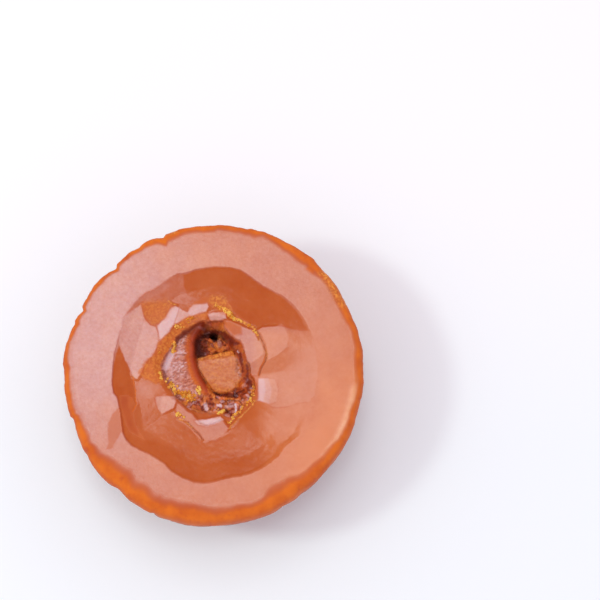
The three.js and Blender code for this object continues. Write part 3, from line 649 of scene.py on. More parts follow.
@dataclass
class Pit:
    """The pit broken through the dish: a soft blistered lump with a smooth lip, and past the lip a well that
    holds a flat slab and broken rubble."""

    centre: Point = (-2.0, 0.0)
    look: Point = (0.039, 0.213)
    mouth: Outline = (
        (-1.7, 17.6), (3.4, 17.4), (3.7, 14.6), (5.2, 12.9), (6.9, 11.3), (8.8, 10.3), (9.8, 8.3),
        (10.1, 6.0), (10.6, 4.1), (11.8, 2.6), (12.2, 1.0), (12.3, -1.6), (13.3, -3.2), (13.6, -5.7),
        (13.0, -8.2), (11.6, -9.8), (10.4, -11.2), (9.3, -13.2), (8.2, -14.8), (6.4, -15.6), (4.6, -15.2),
        (3.0, -14.0), (0.6, -13.7), (-1.7, -14.0), (-5.2, -13.5), (-7.6, -12.6), (-9.7, -11.3),
        (-12.8, -8.5), (-14.8, -5.3), (-16.9, -1.7), (-17.7, 2.0), (-16.3, 5.6), (-14.1, 8.6), (-12.8, 12.0),
        (-10.1, 14.2), (-7.6, 15.8), (-5.4, 17.0), (-3.9, 17.6),
    )
    well: Outline = (
        (-3.9, 15.2), (-5.7, 12.2), (-6.1, 8.6), (-5.9, 4.8), (-5.4, 2.2), (-4.4, -0.4), (-2.9, -2.9),
        (-1.4, -5.0), (-0.2, -6.6), (1.6, -7.6), (4.6, -8.1), (7.8, -7.8), (10.2, -6.6), (13.0, -5.2),
        (15.0, -2.0), (13.8, 4.0), (10.4, 11.0), (6.4, 17.4), (2.0, 19.6), (-2.0, 18.8),
    )
    wall_reach: tuple[float, ...] = (7.4, 6.4, 5.2, 4.4, 4.4, 5.0, 5.0, 5.0, 5.0, 5.0, 6.0, 7.4)
    mouth_depth: float = 3.0
    floor_depth: float = 10.2
    hole_at: Point = (-0.3, 13.3)
    hole_depth: float = 4.5
    bevel: float = 0.9
    shoulders: tuple[float, ...] = (0.4, 0.4, 0.5, 1.5, 2.8, 3.0, 2.4, 1.1, 0.6, 0.4, 0.4, 0.4)
    lump_depth: float = 3.8
    lump_fall: float = 0.06
    lip_rounding: float = 2.0
    lip_undercut: float = 4.0
    fold_middle: Point = (-9.6, 9.9)
    hole: Point = (0.2, 11.2)
    slab: Outline = (
        (-5.3, 5.3), (-3.2, 6.0), (0.0, 6.6), (3.0, 7.3), (6.0, 7.9), (7.2, 6.0), (8.1, 4.0), (8.9, 1.6),
        (9.1, -0.5), (8.6, -2.3), (7.5, -4.1), (6.1, -5.5), (4.3, -6.2), (2.0, -6.5), (0.4, -6.1),
        (-0.6, -4.9), (-1.9, -3.1), (-3.3, -1.1), (-4.5, 0.9), (-5.4, 2.6),
    )
    slab_depth: float = 6.0
    slab_fall: float = 0.07
    slab_rough: float = 0.3
    rubble_depth: float = 7.6
    shard_size: float = 1.7
    chip_size: float = 0.95
    # Many dark syrup and crease blots are painted shade: the well under the lip, round the hole, and the gap
    # under the slab; the whitish blots are painted glints.
    blots: tuple[Blot, ...] = (
        Blot(Zone.AMBER, ((0.4, 15.9), (2.6, 15.7), (2.4, 14.0), (1.2, 14.2)), 1.3, 0.75),
        Blot(Zone.SYRUP_AND_SHADE, ((0.4, 15.6), (2.6, 15.4), (2.4, 14.0), (1.2, 14.2)), 1.4, 0.12),
        Blot(Zone.SYRUP_AND_SHADE, ((-5.4, 13.4), (-4.0, 14.6), (-2.3, 14.9), (-2.2, 13.5)), 1.4, 0.72),
        Blot(Zone.PAINTED_GLINT, ((-4.6, 14.5), (-3.2, 13.8)), 0.6, 0.1),
        Blot(Zone.SYRUP_AND_SHADE, ((-2.2, 16.3), (0.0, 16.5), (3.4, 16.9)), 0.4, 0.95),
        Blot(Zone.SYRUP_AND_SHADE, ((3.5, 15.8), (3.8, 13.2), (5.6, 11.5), (7.2, 10.2)), 0.4, 0.85),
        Blot(Zone.SYRUP_AND_SHADE, ((-5.0, 10.6), (-2.4, 12.4), (0.5, 13.0), (3.0, 12.3), (5.4, 10.4), (6.8, 8.0)),
             1.0, 0.92),
        Blot(Zone.CREASE, ((-5.2, 10.0), (-2.6, 11.6), (-0.6, 12.0)), 0.9, 0.6),
        Blot(Zone.PAINTED_GLINT, ((-3.2, 12.3), (-1.6, 12.8)), 0.25, 0.2),
        Blot(Zone.CREASE, ((0.0, 11.0), (0.4, 10.4)), 0.9, 1.0),
        Blot(Zone.CREASE, ((0.6, 11.5), (2.6, 11.3), (4.4, 9.6)), 0.5, 0.6),
        Blot(Zone.CREASE, ((-5.4, 10.6), (-3.0, 10.9), (-1.0, 11.6)), 0.35, 0.35),
        Blot(Zone.SYRUP_AND_SHADE, ((-5.4, 9.4), (-4.6, 7.6), (-5.2, 5.4), (-3.6, 5.6), (-3.4, 8.4)), 1.7, 0.92),
        Blot(Zone.CREASE, ((-5.2, 8.8), (-4.9, 5.6), (-3.8, 5.4)), 1.2, 0.55),
        Blot(Zone.SYRUP_AND_SHADE, ((-2.9, 10.0), (-1.9, 9.2)), 0.8, 0.85),
        Blot(Zone.CREASE, ((-3.0, 9.8), (-2.1, 9.3)), 0.6, 0.4),
        Blot(Zone.AMBER, ((-3.6, 7.2), (-3.0, 8.0)), 0.4, 0.35),
        Blot(Zone.PAINTED_GLINT, ((1.9, 9.6), (2.1, 8.6)), 0.8, 0.2),
        Blot(Zone.SYRUP_AND_SHADE, ((1.9, 9.6), (2.1, 8.4)), 0.9, 0.35),
        Blot(Zone.PAINTED_GLINT, ((-3.0, 6.0), (-2.6, 5.2)), 0.3, 0.25),
        Blot(Zone.AMBER, ((-1.6, 8.8), (-0.8, 7.6), (0.4, 7.0), (2.8, 6.9)), 0.6, 0.9),
        Blot(Zone.GRAIN, ((-0.6, 8.2), (1.2, 7.8), (3.6, 7.4)), 1.1, 0.45),
        Blot(Zone.AMBER, ((7.3, 7.8), (8.6, 7.9), (9.2, 6.6)), 0.9, 0.8),
        Blot(Zone.SYRUP_AND_SHADE, ((6.2, 8.4), (7.4, 6.8), (7.8, 5.4)), 0.4, 0.6),
        Blot(Zone.PAINTED_GLINT, ((8.0, 6.4), (8.3, 6.1)), 0.3, 0.6),
        Blot(Zone.SYRUP_AND_SHADE, ((8.6, 5.6), (9.5, 3.6), (9.9, 1.4), (9.7, -0.6)), 0.4, 0.85),
        Blot(Zone.AMBER, ((10.3, 2.6), (10.6, 0.4), (10.8, -2.0)), 0.7, 0.7),
        Blot(Zone.SYRUP_AND_SHADE, ((11.3, 1.8), (11.5, -0.6), (11.2, -2.6), (12.4, -4.0), (13.0, -6.0)), 0.55, 0.85),
        Blot(Zone.SYRUP_AND_SHADE, ((11.4, -6.0), (12.4, -8.2)), 0.5, 0.8),
        Blot(Zone.PAINTED_GLINT, ((11.0, -8.4), (11.9, -9.0)), 0.35, 0.45),
        Blot(Zone.AMBER, ((-1.7, -5.0), (-1.2, -6.9), (0.2, -8.8)), 0.65, 1.0),
        Blot(Zone.GRAIN, ((-1.7, -5.0), (-1.2, -6.9), (0.2, -8.8)), 0.6, 0.6),
        Blot(Zone.SYRUP_AND_SHADE, ((0.5, -7.6), (1.2, -8.2), (3.4, -8.5), (7.2, -8.3), (8.6, -7.5), (10.2, -6.8)),
             0.45, 0.95),
        Blot(Zone.SYRUP_AND_SHADE, ((5.2, -8.8), (7.4, -8.9)), 0.8, 0.85),
        Blot(Zone.AMBER, ((2.2, -9.4), (5.0, -9.9), (8.6, -9.8)), 0.5, 0.95),
        Blot(Zone.SYRUP_AND_SHADE, ((3.0, -10.3), (8.8, -10.4), (9.6, -11.6)), 0.28, 0.75),
        Blot(Zone.AMBER, ((8.6, -5.2), (9.6, -4.8)), 0.9, 1.0),
        Blot(Zone.SYRUP_AND_SHADE, ((8.6, -5.2), (9.6, -4.8)), 0.9, 0.0),
        Blot(Zone.PAINTED_GLINT, ((-2.6, -11.6), (-2.0, -13.2)), 0.7, 0.75),
        Blot(Zone.PAINTED_GLINT, ((1.5, -11.8), (2.6, -12.0)), 0.5, 0.9),
        Blot(Zone.PAINTED_GLINT, ((4.2, -12.4), (6.6, -12.0)), 0.6, 0.45),
        Blot(Zone.PAINTED_GLINT, ((7.5, -11.6), (7.6, -14.3)), 0.38, 1.0),
        Blot(Zone.PAINTED_GLINT, ((9.3, -12.6),), 0.5, 0.7),
        Blot(Zone.SYRUP_AND_SHADE, ((-5.0, -10.6), (-3.6, -12.8), (-3.4, -14.2), (-1.2, -14.3)), 0.35, 0.8),
        Blot(Zone.SYRUP_AND_SHADE, ((4.0, -13.8), (6.4, -14.9), (6.6, -15.6)), 0.5, 0.7),
    )

    def inward(self, x: Array, y: Array) -> Array:
        """How far in from the pit's broken mouth each point is."""
        return inside_by(x, y, self.mouth) + 0.45 * Noise.waves(x, y, 1.9, 41, 3)

    def past_lip(self, x: Array, y: Array) -> Array:
        """Distance from the lip back over the lump, below 0 inside the well."""
        return 0.2 * Noise.waves(x, y, 4.0, 43, 2) - inside_by(x, y, self.well)

    def _in_slab(self, x: Array, y: Array) -> Array:
        """How far in from the slab's edge each point is, below 0 outside it."""
        return inside_by(*SetFace.ragged(x, y, self.slab_rough), self.slab)

    def _pieces(self, x: Array, y: Array) -> tuple["Shards", "Shards"]:
        """The larger and the smaller broken pieces."""
        return Noise.shards(x, y, self.shard_size, 71), Noise.shards(x, y, self.chip_size, 75)

    def _shelf(self, x: Array, y: Array) -> Array:
        """How far a point belongs to the broken shelf at the front of the pit rather than to the lump."""
        return smooth(-5.4, -7.6, y - 0.3 * x + 1.2 * Noise.waves(x, y, 3.0, 45, 2))

    def wrinkles(self, x: Array, y: Array) -> Array:
        """Soft winding wrinkles of the lump, 0 in the grooves to 1 on the crests."""
        wx = x + 0.8 * Noise.waves(x, y, 2.4, 46, 2)
        wy = y + 0.8 * Noise.waves(x, y, 2.4, 48, 2)
        winding = np.minimum(3.2 * np.abs(Noise.waves(wx, wy, 1.5, 47, 2)), 1.0)
        fine = 0.5 + 0.9 * Noise.waves(wx, wy, 0.9, 54, 2)
        return np.clip(0.6 * winding + 0.4 * fine, 0.0, 1.0)

    def folds(self, x: Array, y: Array) -> Array:
        """Curved folds where the lump was drawn towards the lip, -1 to 1."""
        reach = np.hypot(x - self.fold_middle[0], 1.15 * (y - self.fold_middle[1]))
        near = smooth(4.2, 1.4, reach) * smooth(self.fold_middle[1] - 1.6, self.fold_middle[1] + 0.4, y)
        return np.cos(reach * 6.2 + 0.8 * Noise.waves(x, y, 2.0, 49, 1)) * near

    def depth(self, x: Array, y: Array, dish: Array) -> Array:
        """Depth of the face with the pit cut into it.

        Args:
            x: Points across.
            y: Points along.
            dish: Depth of the dish at the points.

        Returns:
            The depth of dish and pit together.
        """
        inward = self.inward(x, y)
        angle, _ = polar(x, y, self.centre)
        shoulder = around(self.shoulders, angle)
        sunk = (self.mouth_depth - 0.3 - dish) * smooth(-shoulder, 0.2, inward)
        broken = 0.22 * Noise.waves(x, y, 1.3, 53, 3) * smooth(-shoulder - 0.3, -0.4 * shoulder, inward)
        dish = dish + np.maximum(sunk, 0.0) + broken * smooth(0.5, 1.2, shoulder)
        bumps = Noise.waves(x, y, 2.2, 61, 3)
        shards, chips = self._pieces(x, y)
        past = self.past_lip(x, y)
        wall = mix(self.mouth_depth, self.floor_depth, smooth(0.0, around(self.wall_reach, angle), inward))
        wall = wall + 0.5 * bumps + 0.15 * (chips.level - 0.5) + 0.3 * shards.tilt
        wall = wall + 0.7 * Noise.waves(x, y, 1.4, 63, 2) * smooth(8.0, 10.0, wall)
        rubble = self.rubble_depth + 1.9 * (shards.level - 0.5) + 0.9 * shards.tilt + 0.35 * chips.tilt
        rubble = rubble - 1.0 * smooth(1.5, 0.5, np.hypot(x - 1.7, y - 10.9))
        rubble = mix(self.floor_depth, rubble, smooth(13.0, 11.8, y + 0.25 * x) * smooth(-7.4, -5.6, x))
        slab = self.slab_depth - self.slab_fall * y + 0.03 * bumps + 0.008 * Noise.waves(x, y, 0.7, 67, 2)
        slab = slab - 0.35 * smooth(0.9, 0.2, np.abs(y - 0.13 * x - 6.0 + 0.4 * bumps))
        slab = slab - 0.9 * smooth(1.5, 0.4, np.hypot(x - 8.9, 1.1 * (y + 3.7)))
        slab = mix(self.floor_depth, slab, smooth(-0.9, 0.2, self._in_slab(x, y)))
        pit = np.minimum.reduce([wall, self._lump(x, y, past, shards, chips), rubble, slab])
        gap = np.hypot(x - self.hole_at[0], 1.2 * (y - self.hole_at[1]))
        pit = pit + self.hole_depth * smooth(1.7, 0.5, gap)
        cut = np.maximum(dish, mix(dish, pit, smooth(0.0, self.bevel, inward)))
        return np.where(inward > 0.0, cut, dish)

    def _lump(self, x: Array, y: Array, past: Array, shards: "Shards", chips: "Shards") -> Array:
        """Depth of the soft lump and the broken shelf before it.

        Args:
            x: Points across.
            y: Points along.
            past: Distance back from the lip.
            shards: The larger broken pieces.
            chips: The smaller broken pieces.

        Returns:
            The depth: wrinkled, drawn into folds behind the lip, and rounded over it.
        """
        shelf = self._shelf(x, y)
        bend = mix(self.lip_rounding, 0.9, shelf)
        over = np.clip(1.0 - past / bend, 0.0, 1.0)
        soft = smooth(1.6, 3.2, past)
        top = self.lump_depth + self.lump_fall * np.maximum(past, 0.0) + 0.45 * Noise.waves(x, y, 4.5, 50, 2)
        top = top + (0.3 - 0.62 * self.wrinkles(x, y)) * soft - 0.22 * self.folds(x, y)
        top = top - 0.3 * smooth(0.0, 1.0, past) * smooth(2.6, 1.0, past)
        broken = self.lump_depth + 0.9 + 1.2 * (shards.level - 0.5) + 0.8 * shards.tilt + 0.4 * chips.tilt
        top = mix(top, broken, shelf)
        return top + bend * (1.0 - np.sqrt(1.0 - over * over)) + self.lip_undercut * np.maximum(-past, 0.0)

    def paint(self, x: Array, y: Array, depth: Array, zones: Zones) -> None:
        """Add the pit's looks to the zones of the set face, painted shade and glints among them.

        Args:
            x: Points across.
            y: Points along.
            depth: Depth of the finished face at the points.
            zones: The zones, changed in place.
        """
        sx, sy = x + self.look[0] * depth, y - self.look[1] * depth
        inward = self.inward(x, y)
        past = self.past_lip(x, y)
        shards, chips = self._pieces(x, y)
        fine = Noise.waves(sx, sy, 0.8, 81, 2)
        middling = Noise.waves(sx, sy, 1.7, 82, 3)
        coarse = Noise.waves(sx, sy, 3.6, 83, 2)
        gaps = smooth(0.22, 0.02, shards.gap)
        looks = self._broken(fine, middling, coarse, shards, chips, gaps)
        in_well = smooth(0.2, -0.3, past)
        shelf = self._shelf(x, y)
        looks[Zone.PAINTED_GLINT] = looks[Zone.PAINTED_GLINT] * (0.12 + 0.88 * shelf)
        for zone, look in self._soft(x, y, sx, sy, past, fine).items():
            turn_to(looks, zone, look, (1.0 - in_well) * (1.0 - shelf))
        # Painted shade: the deep well turns syrup-dark and red by its depth, and the hole is painted near
        # black.
        deep = smooth(8.4, 10.2, depth) * in_well
        turn_to(looks, Zone.SYRUP_AND_SHADE, 0.85, smooth(7.6, 9.2, depth) * in_well)
        turn_to(looks, Zone.RED, 0.6, deep)
        hole = smooth(1.8, 0.7, np.hypot(sx - self.hole[0], sy - self.hole[1]))
        looks[Zone.CREASE] = np.maximum(0.95 * hole, looks[Zone.CREASE] * (1.0 - deep))
        right = smooth(3.5, 6.5, sx) * smooth(-9.0, -6.5, sy) * in_well
        stripe = smooth(1.0, 0.35, np.abs(inward - 1.5 + 0.6 * middling))
        turn_to(looks, Zone.SYRUP_AND_SHADE, 0.22 + 0.65 * stripe, right)
        turn_to(looks, Zone.RED, 0.55 + 0.3 * stripe, right)
        on_slab = smooth(-0.45, 0.1, self._in_slab(x, y)) * in_well
        for zone, look in self._slab_look(sx, sy, fine, middling, coarse).items():
            turn_to(looks, zone, look, on_slab)
        wx, wy = sx + 0.3 * fine, sy + 0.3 * Noise.waves(sx, sy, 0.8, 84, 2)
        for blot in self.blots:
            if len(blot.path) == 1:
                gap = np.hypot(wx - blot.path[0][0], wy - blot.path[0][1])
            else:
                gap = path_distance(wx, wy, blot.path)
            share = smooth(1.25 * blot.width, 0.45 * blot.width, gap)
            turn_to(looks, blot.zone, blot.amount, share)
            if blot.zone in (Zone.AMBER, Zone.PAINTED_GLINT):
                for darker in (Zone.RED, Zone.SYRUP_AND_SHADE):
                    looks[darker] = looks[darker] * (1.0 - 0.85 * share * blot.amount)
        edge = np.clip(smooth(0.9, 0.2, inward) * (0.75 + 0.8 * coarse), 0.0, 1.0)
        raise_to(looks, Zone.AMBER, 0.85 * edge)
        for darker in (Zone.RED, Zone.SYRUP_AND_SHADE):
            looks[darker] = looks[darker] * (1.0 - 0.6 * edge)
        in_pit = smooth(-0.05, 0.3, inward)
        for zone, look in looks.items():
            turn_to(zones, zone, np.clip(look, 0.0, 1.0), in_pit)
        # Painted shadow: a thin dark line along the pit's mouth.
        mouth_shadow_line = smooth(0.45, 0.05, np.abs(inward - 0.1)) * np.clip(0.4 + 1.5 * coarse, 0.0, 1.0)
        raise_to(zones, Zone.SYRUP_AND_SHADE, 0.6 * mouth_shadow_line)

    @staticmethod
    def _broken(fine: Array, middling: Array, coarse: Array, shards: "Shards", chips: "Shards",
                gaps: Array) -> Zones:
        """What broken walls, rubble and shelf are made of: orange sugar, dark gaps of syrup and painted
        shade, and painted pale glints.
        """
        # Painted glints on the higher pieces.
        bright = np.clip(2.2 * (shards.level - 0.62) + 1.2 * fine, 0.0, 1.0) * (1.0 - gaps)
        return {
            Zone.BLOOM: np.clip(0.12 + 0.3 * (chips.level - 0.4) + 0.3 * middling, 0.0, 0.45),
            Zone.WARM: 0.3 + 0.4 * coarse,
            Zone.AMBER: np.clip(0.5 + 0.6 * middling, 0.0, 0.9),
            Zone.GRAIN: np.clip(0.15 + 1.0 * coarse + 0.3 * fine, 0.0, 0.6),
            Zone.RED: np.clip(0.3 - 1.0 * middling - 0.7 * coarse, 0.0, 0.8),
            Zone.SYRUP_AND_SHADE: np.clip(0.1 + 0.45 * gaps - 1.2 * middling + 0.5 * (0.45 - shards.level), 0.0, 0.85),
            Zone.PAINTED_GLINT: 0.4 * bright,
            Zone.CREASE: 0.15 * gaps * smooth(0.1, -0.2, middling),
        }

    def _soft(self, x: Array, y: Array, sx: Array, sy: Array, past: Array, fine: Array) -> Zones:
        """What the lump is made of: pale wrinkles with painted glints, then a glossy orange lip; painted
        shade darkens its grooves, the recess at the back and where the lip falls.
        """
        wrinkle = self.wrinkles(x, y)
        fold = self.folds(x, y)
        left = smooth(-7.5, -14.0, sx)
        back = smooth(9.4, 12.8, sy - 0.25 * (sx + 9.0))
        calm = smooth(0.0, 0.8, inside_by(sx, sy, ((-17.2, 0.6), (-16.0, 4.4), (-14.6, 6.6), (-13.2, 6.8),
                                                   (-12.6, 5.2), (-13.6, 2.6), (-14.4, 0.2), (-16.0, -0.8))))
        patchy = np.clip(0.7 + 1.1 * Noise.waves(sx, sy, 2.6, 57, 2), 0.25, 1.0)
        # Painted glints and highlights on the wrinkle crests, the folds and the calm patch at the left.
        painted_glint = (0.4 + 0.6 * smooth(0.4, 0.85, wrinkle)) * mix(0.2, 0.62, left)
        painted_glint = np.maximum(painted_glint, 0.7 * smooth(0.08, 0.3, fine) * smooth(0.35, 0.65, wrinkle)) * patchy
        painted_glint = mix(np.maximum(painted_glint, 0.5 * smooth(0.3, 0.9, fold)), 0.62, calm)
        groove = smooth(0.55, 0.15, wrinkle)
        border = smooth(1.7, 0.9, self.inward(x, y)) * (1.0 - calm)
        band = smooth(4.2, 2.6, past + 0.4 * fine)
        fall = smooth(0.9, -0.4, past)
        red = smooth(3.2, 1.2, past + 0.4 * fine)
        pale = mix(0.3 + 0.3 * fine, 0.55, calm) * (1.0 - band) * (1.0 - 0.7 * back)
        # Painted shade: darker syrup in the grooves, the recess at the back, the lip's fall and the mouth's
        # border.
        wet = mix(0.4 * groove * (1.0 - calm), 0.72, back) * (1.0 - band) + 0.75 * fall
        wet = wet + (0.05 + 0.2 * red + 0.5 * back) * band + 0.6 * border
        painted_glint = painted_glint * (1.0 - band) * (1.0 - 0.75 * back) * (1.0 - 0.8 * border)
        return {
            Zone.BLOOM: np.clip(pale, 0.0, 1.0),
            Zone.WARM: np.full_like(sx, 0.25),
            Zone.AMBER: np.clip(0.12 + 0.8 * band, 0.0, 0.9),
            Zone.GRAIN: np.zeros_like(sx),
            Zone.RED: np.maximum(0.9 * red, 0.4 * groove * (1.0 - calm)),
            Zone.SYRUP_AND_SHADE: np.clip(wet, 0.0, 0.9),
            Zone.PAINTED_GLINT: np.clip(painted_glint, 0.0, 1.0),
            Zone.CREASE: np.zeros_like(sx),
        }

    @staticmethod
    def _slab_look(sx: Array, sy: Array, fine: Array, middling: Array, coarse: Array) -> Zones:
        """What the slab is made of: tan sugar, paler at the left, golden at the back, orange in front."""
        front = smooth(-3.2, -6.6, sy + 0.25 * sx + 1.6 * coarse)
        back = smooth(-0.35, 0.35, sy - 0.125 * sx - 4.15 + 0.5 * middling)
        left = smooth(-3.4, -4.8, sx + 0.3 * sy)
        right = smooth(6.6, 8.6, sx + 0.9 * middling) * smooth(-3.5, -1.5, sy)
        ridge = smooth(0.75, 0.2, np.abs(sy - 0.13 * sx - 2.9)) * smooth(-1.5, 0.5, sx)
        pale = 0.08 + 0.25 * left + 0.16 * ridge + 0.08 * fine + 0.12 * coarse - 0.3 * front
        wet = 0.55 * right * (0.4 + 2.0 * middling) + 0.25 * front * (0.3 - fine)
        return {
            Zone.BLOOM: np.clip(pale, 0.0, 0.8) * (1.0 - back),
            Zone.WARM: np.clip(0.56 + 0.3 * fine + 0.3 * middling, 0.0, 1.0),
            Zone.AMBER: np.clip(0.9 * back + 0.55 * front + 0.5 * middling * front, 0.0, 1.0),
            Zone.GRAIN: np.clip(0.2 + 0.5 * back + 0.25 * front, 0.0, 0.8),
            Zone.RED: np.zeros_like(sx),
            Zone.SYRUP_AND_SHADE: np.clip(wet, 0.0, 0.7),
            # Painted glints on the slab's right side.
            Zone.PAINTED_GLINT: np.clip(right * 0.7 * fine, 0.0, 0.25) * (1.0 - back),
            Zone.CREASE: np.zeros_like(sx),
        }


# ---------------------------------------------------------------- where crumbs lie


@dataclass(frozen=True)
class Drift:
    """A drift of loose crumbs.

    Attributes:
        path: The points it lies along.
        width: Half its width.
        amount: How thickly the crumbs lie, 0 to 1.
    """

    path: Outline
    width: float
    amount: float


@dataclass
class CrumbMap:
    """Where loose crumbs have gathered on the set face."""

    drifts: tuple[Drift, ...] = (
        Drift(((-14.2, -5.0), (-12.8, -5.2), (-12.8, -6.8)), 0.9, 0.9),
        Drift(((-12.0, -7.6), (-10.2, -7.8), (-8.2, -7.4)), 0.8, 1.0),
        Drift(((-9.6, -8.4), (-8.0, -9.6), (-6.8, -9.2)), 1.2, 1.0),
        Drift(((-4.6, -6.0), (-4.6, -7.8)), 0.7, 0.8),
        Drift(((-13.4, 8.6), (-12.9, 7.4), (-13.0, 6.6)), 0.75, 0.9),
        Drift(((1.6, -14.2), (3.2, -14.0)), 0.8, 1.0),
        Drift(((-17.6, -0.8), (-17.4, -2.6)), 0.5, 0.7),
        Drift(((-18.4, 5.2), (-17.2, 6.2)), 0.5, 0.35),
        Drift(((-12.4, 14.6), (-10.2, 15.4)), 0.8, 0.3),
        Drift(((-8.6, 16.6), (-6.4, 17.4)), 0.9, 0.3),
        Drift(((-0.3, 22.6), (1.6, 21.4), (3.7, 20.6)), 0.45, 0.5),
        Drift(((3.8, 20.4), (5.4, 19.2), (6.6, 17.9)), 0.85, 0.9),
        Drift(((6.6, 17.9), (8.8, 16.8), (12.3, 14.6)), 0.4, 0.45),
        Drift(((13.4, 13.6), (14.2, 11.6)), 0.5, 0.6),
        Drift(((4.9, -18.1), (7.3, -15.4), (9.7, -13.0), (13.3, -9.4), (13.8, -5.2)), 0.8, 0.16),
        Drift(((6.6, -15.6), (7.6, -14.6)), 0.6, 0.5),
        Drift(((11.4, -11.0), (12.6, -9.6)), 0.6, 0.5),
        Drift(((-12.0, -14.7), (-9.0, -16.1)), 0.5, 0.4),
        Drift(((-14.9, -3.2), (-15.6, -4.4)), 0.4, 0.5),
    )

    def paint(self, x: Array, y: Array, zones: Zones) -> None:
        """Add the drifts to the zones, at places as they show from the front."""
        wx, wy = SetFace.ragged(x, y, 0.5)
        for drift in self.drifts:
            gap = path_distance(wx, wy, drift.path)
            raise_to(zones, Zone.CRUMBS, smooth(drift.width, 0.3 * drift.width, gap) * drift.amount)
        raise_to(zones, Zone.AMBER, smooth(0.3, 0.8, zones[Zone.CRUMBS]))
        zones[Zone.BLOOM] = zones[Zone.BLOOM] * (1.0 - smooth(0.1, 0.6, zones[Zone.CRUMBS]))


# ---------------------------------------------------------------- rim and dome


@dataclass(frozen=True)
class Wave:
    """One slow wave of the outline: how many times round, how high, and where it crests in degrees."""

    count: int
    height: float
    crest: float


@dataclass(frozen=True)
class Crease:
    """A crease left by a rib of the shell.

    Attributes:
        at: Angle where it stands, in degrees.
        depth: How deep it is.
        half: Its half width in degrees.
        start: Level where it begins, counted down from the widest one.
        end: Level where it has run out.
    """

    at: float
    depth: float
    half: float
    start: float
    end: float


@dataclass(frozen=True)
class Step:
    """A scallop of the rim: the outline steps in, then comes slowly back out.

    Attributes:
        at: Angle where it steps in, in degrees.
        depth: How far it steps in.
        run: How many degrees it takes to come back out.
    """

    at: float
    depth: float
    run: float


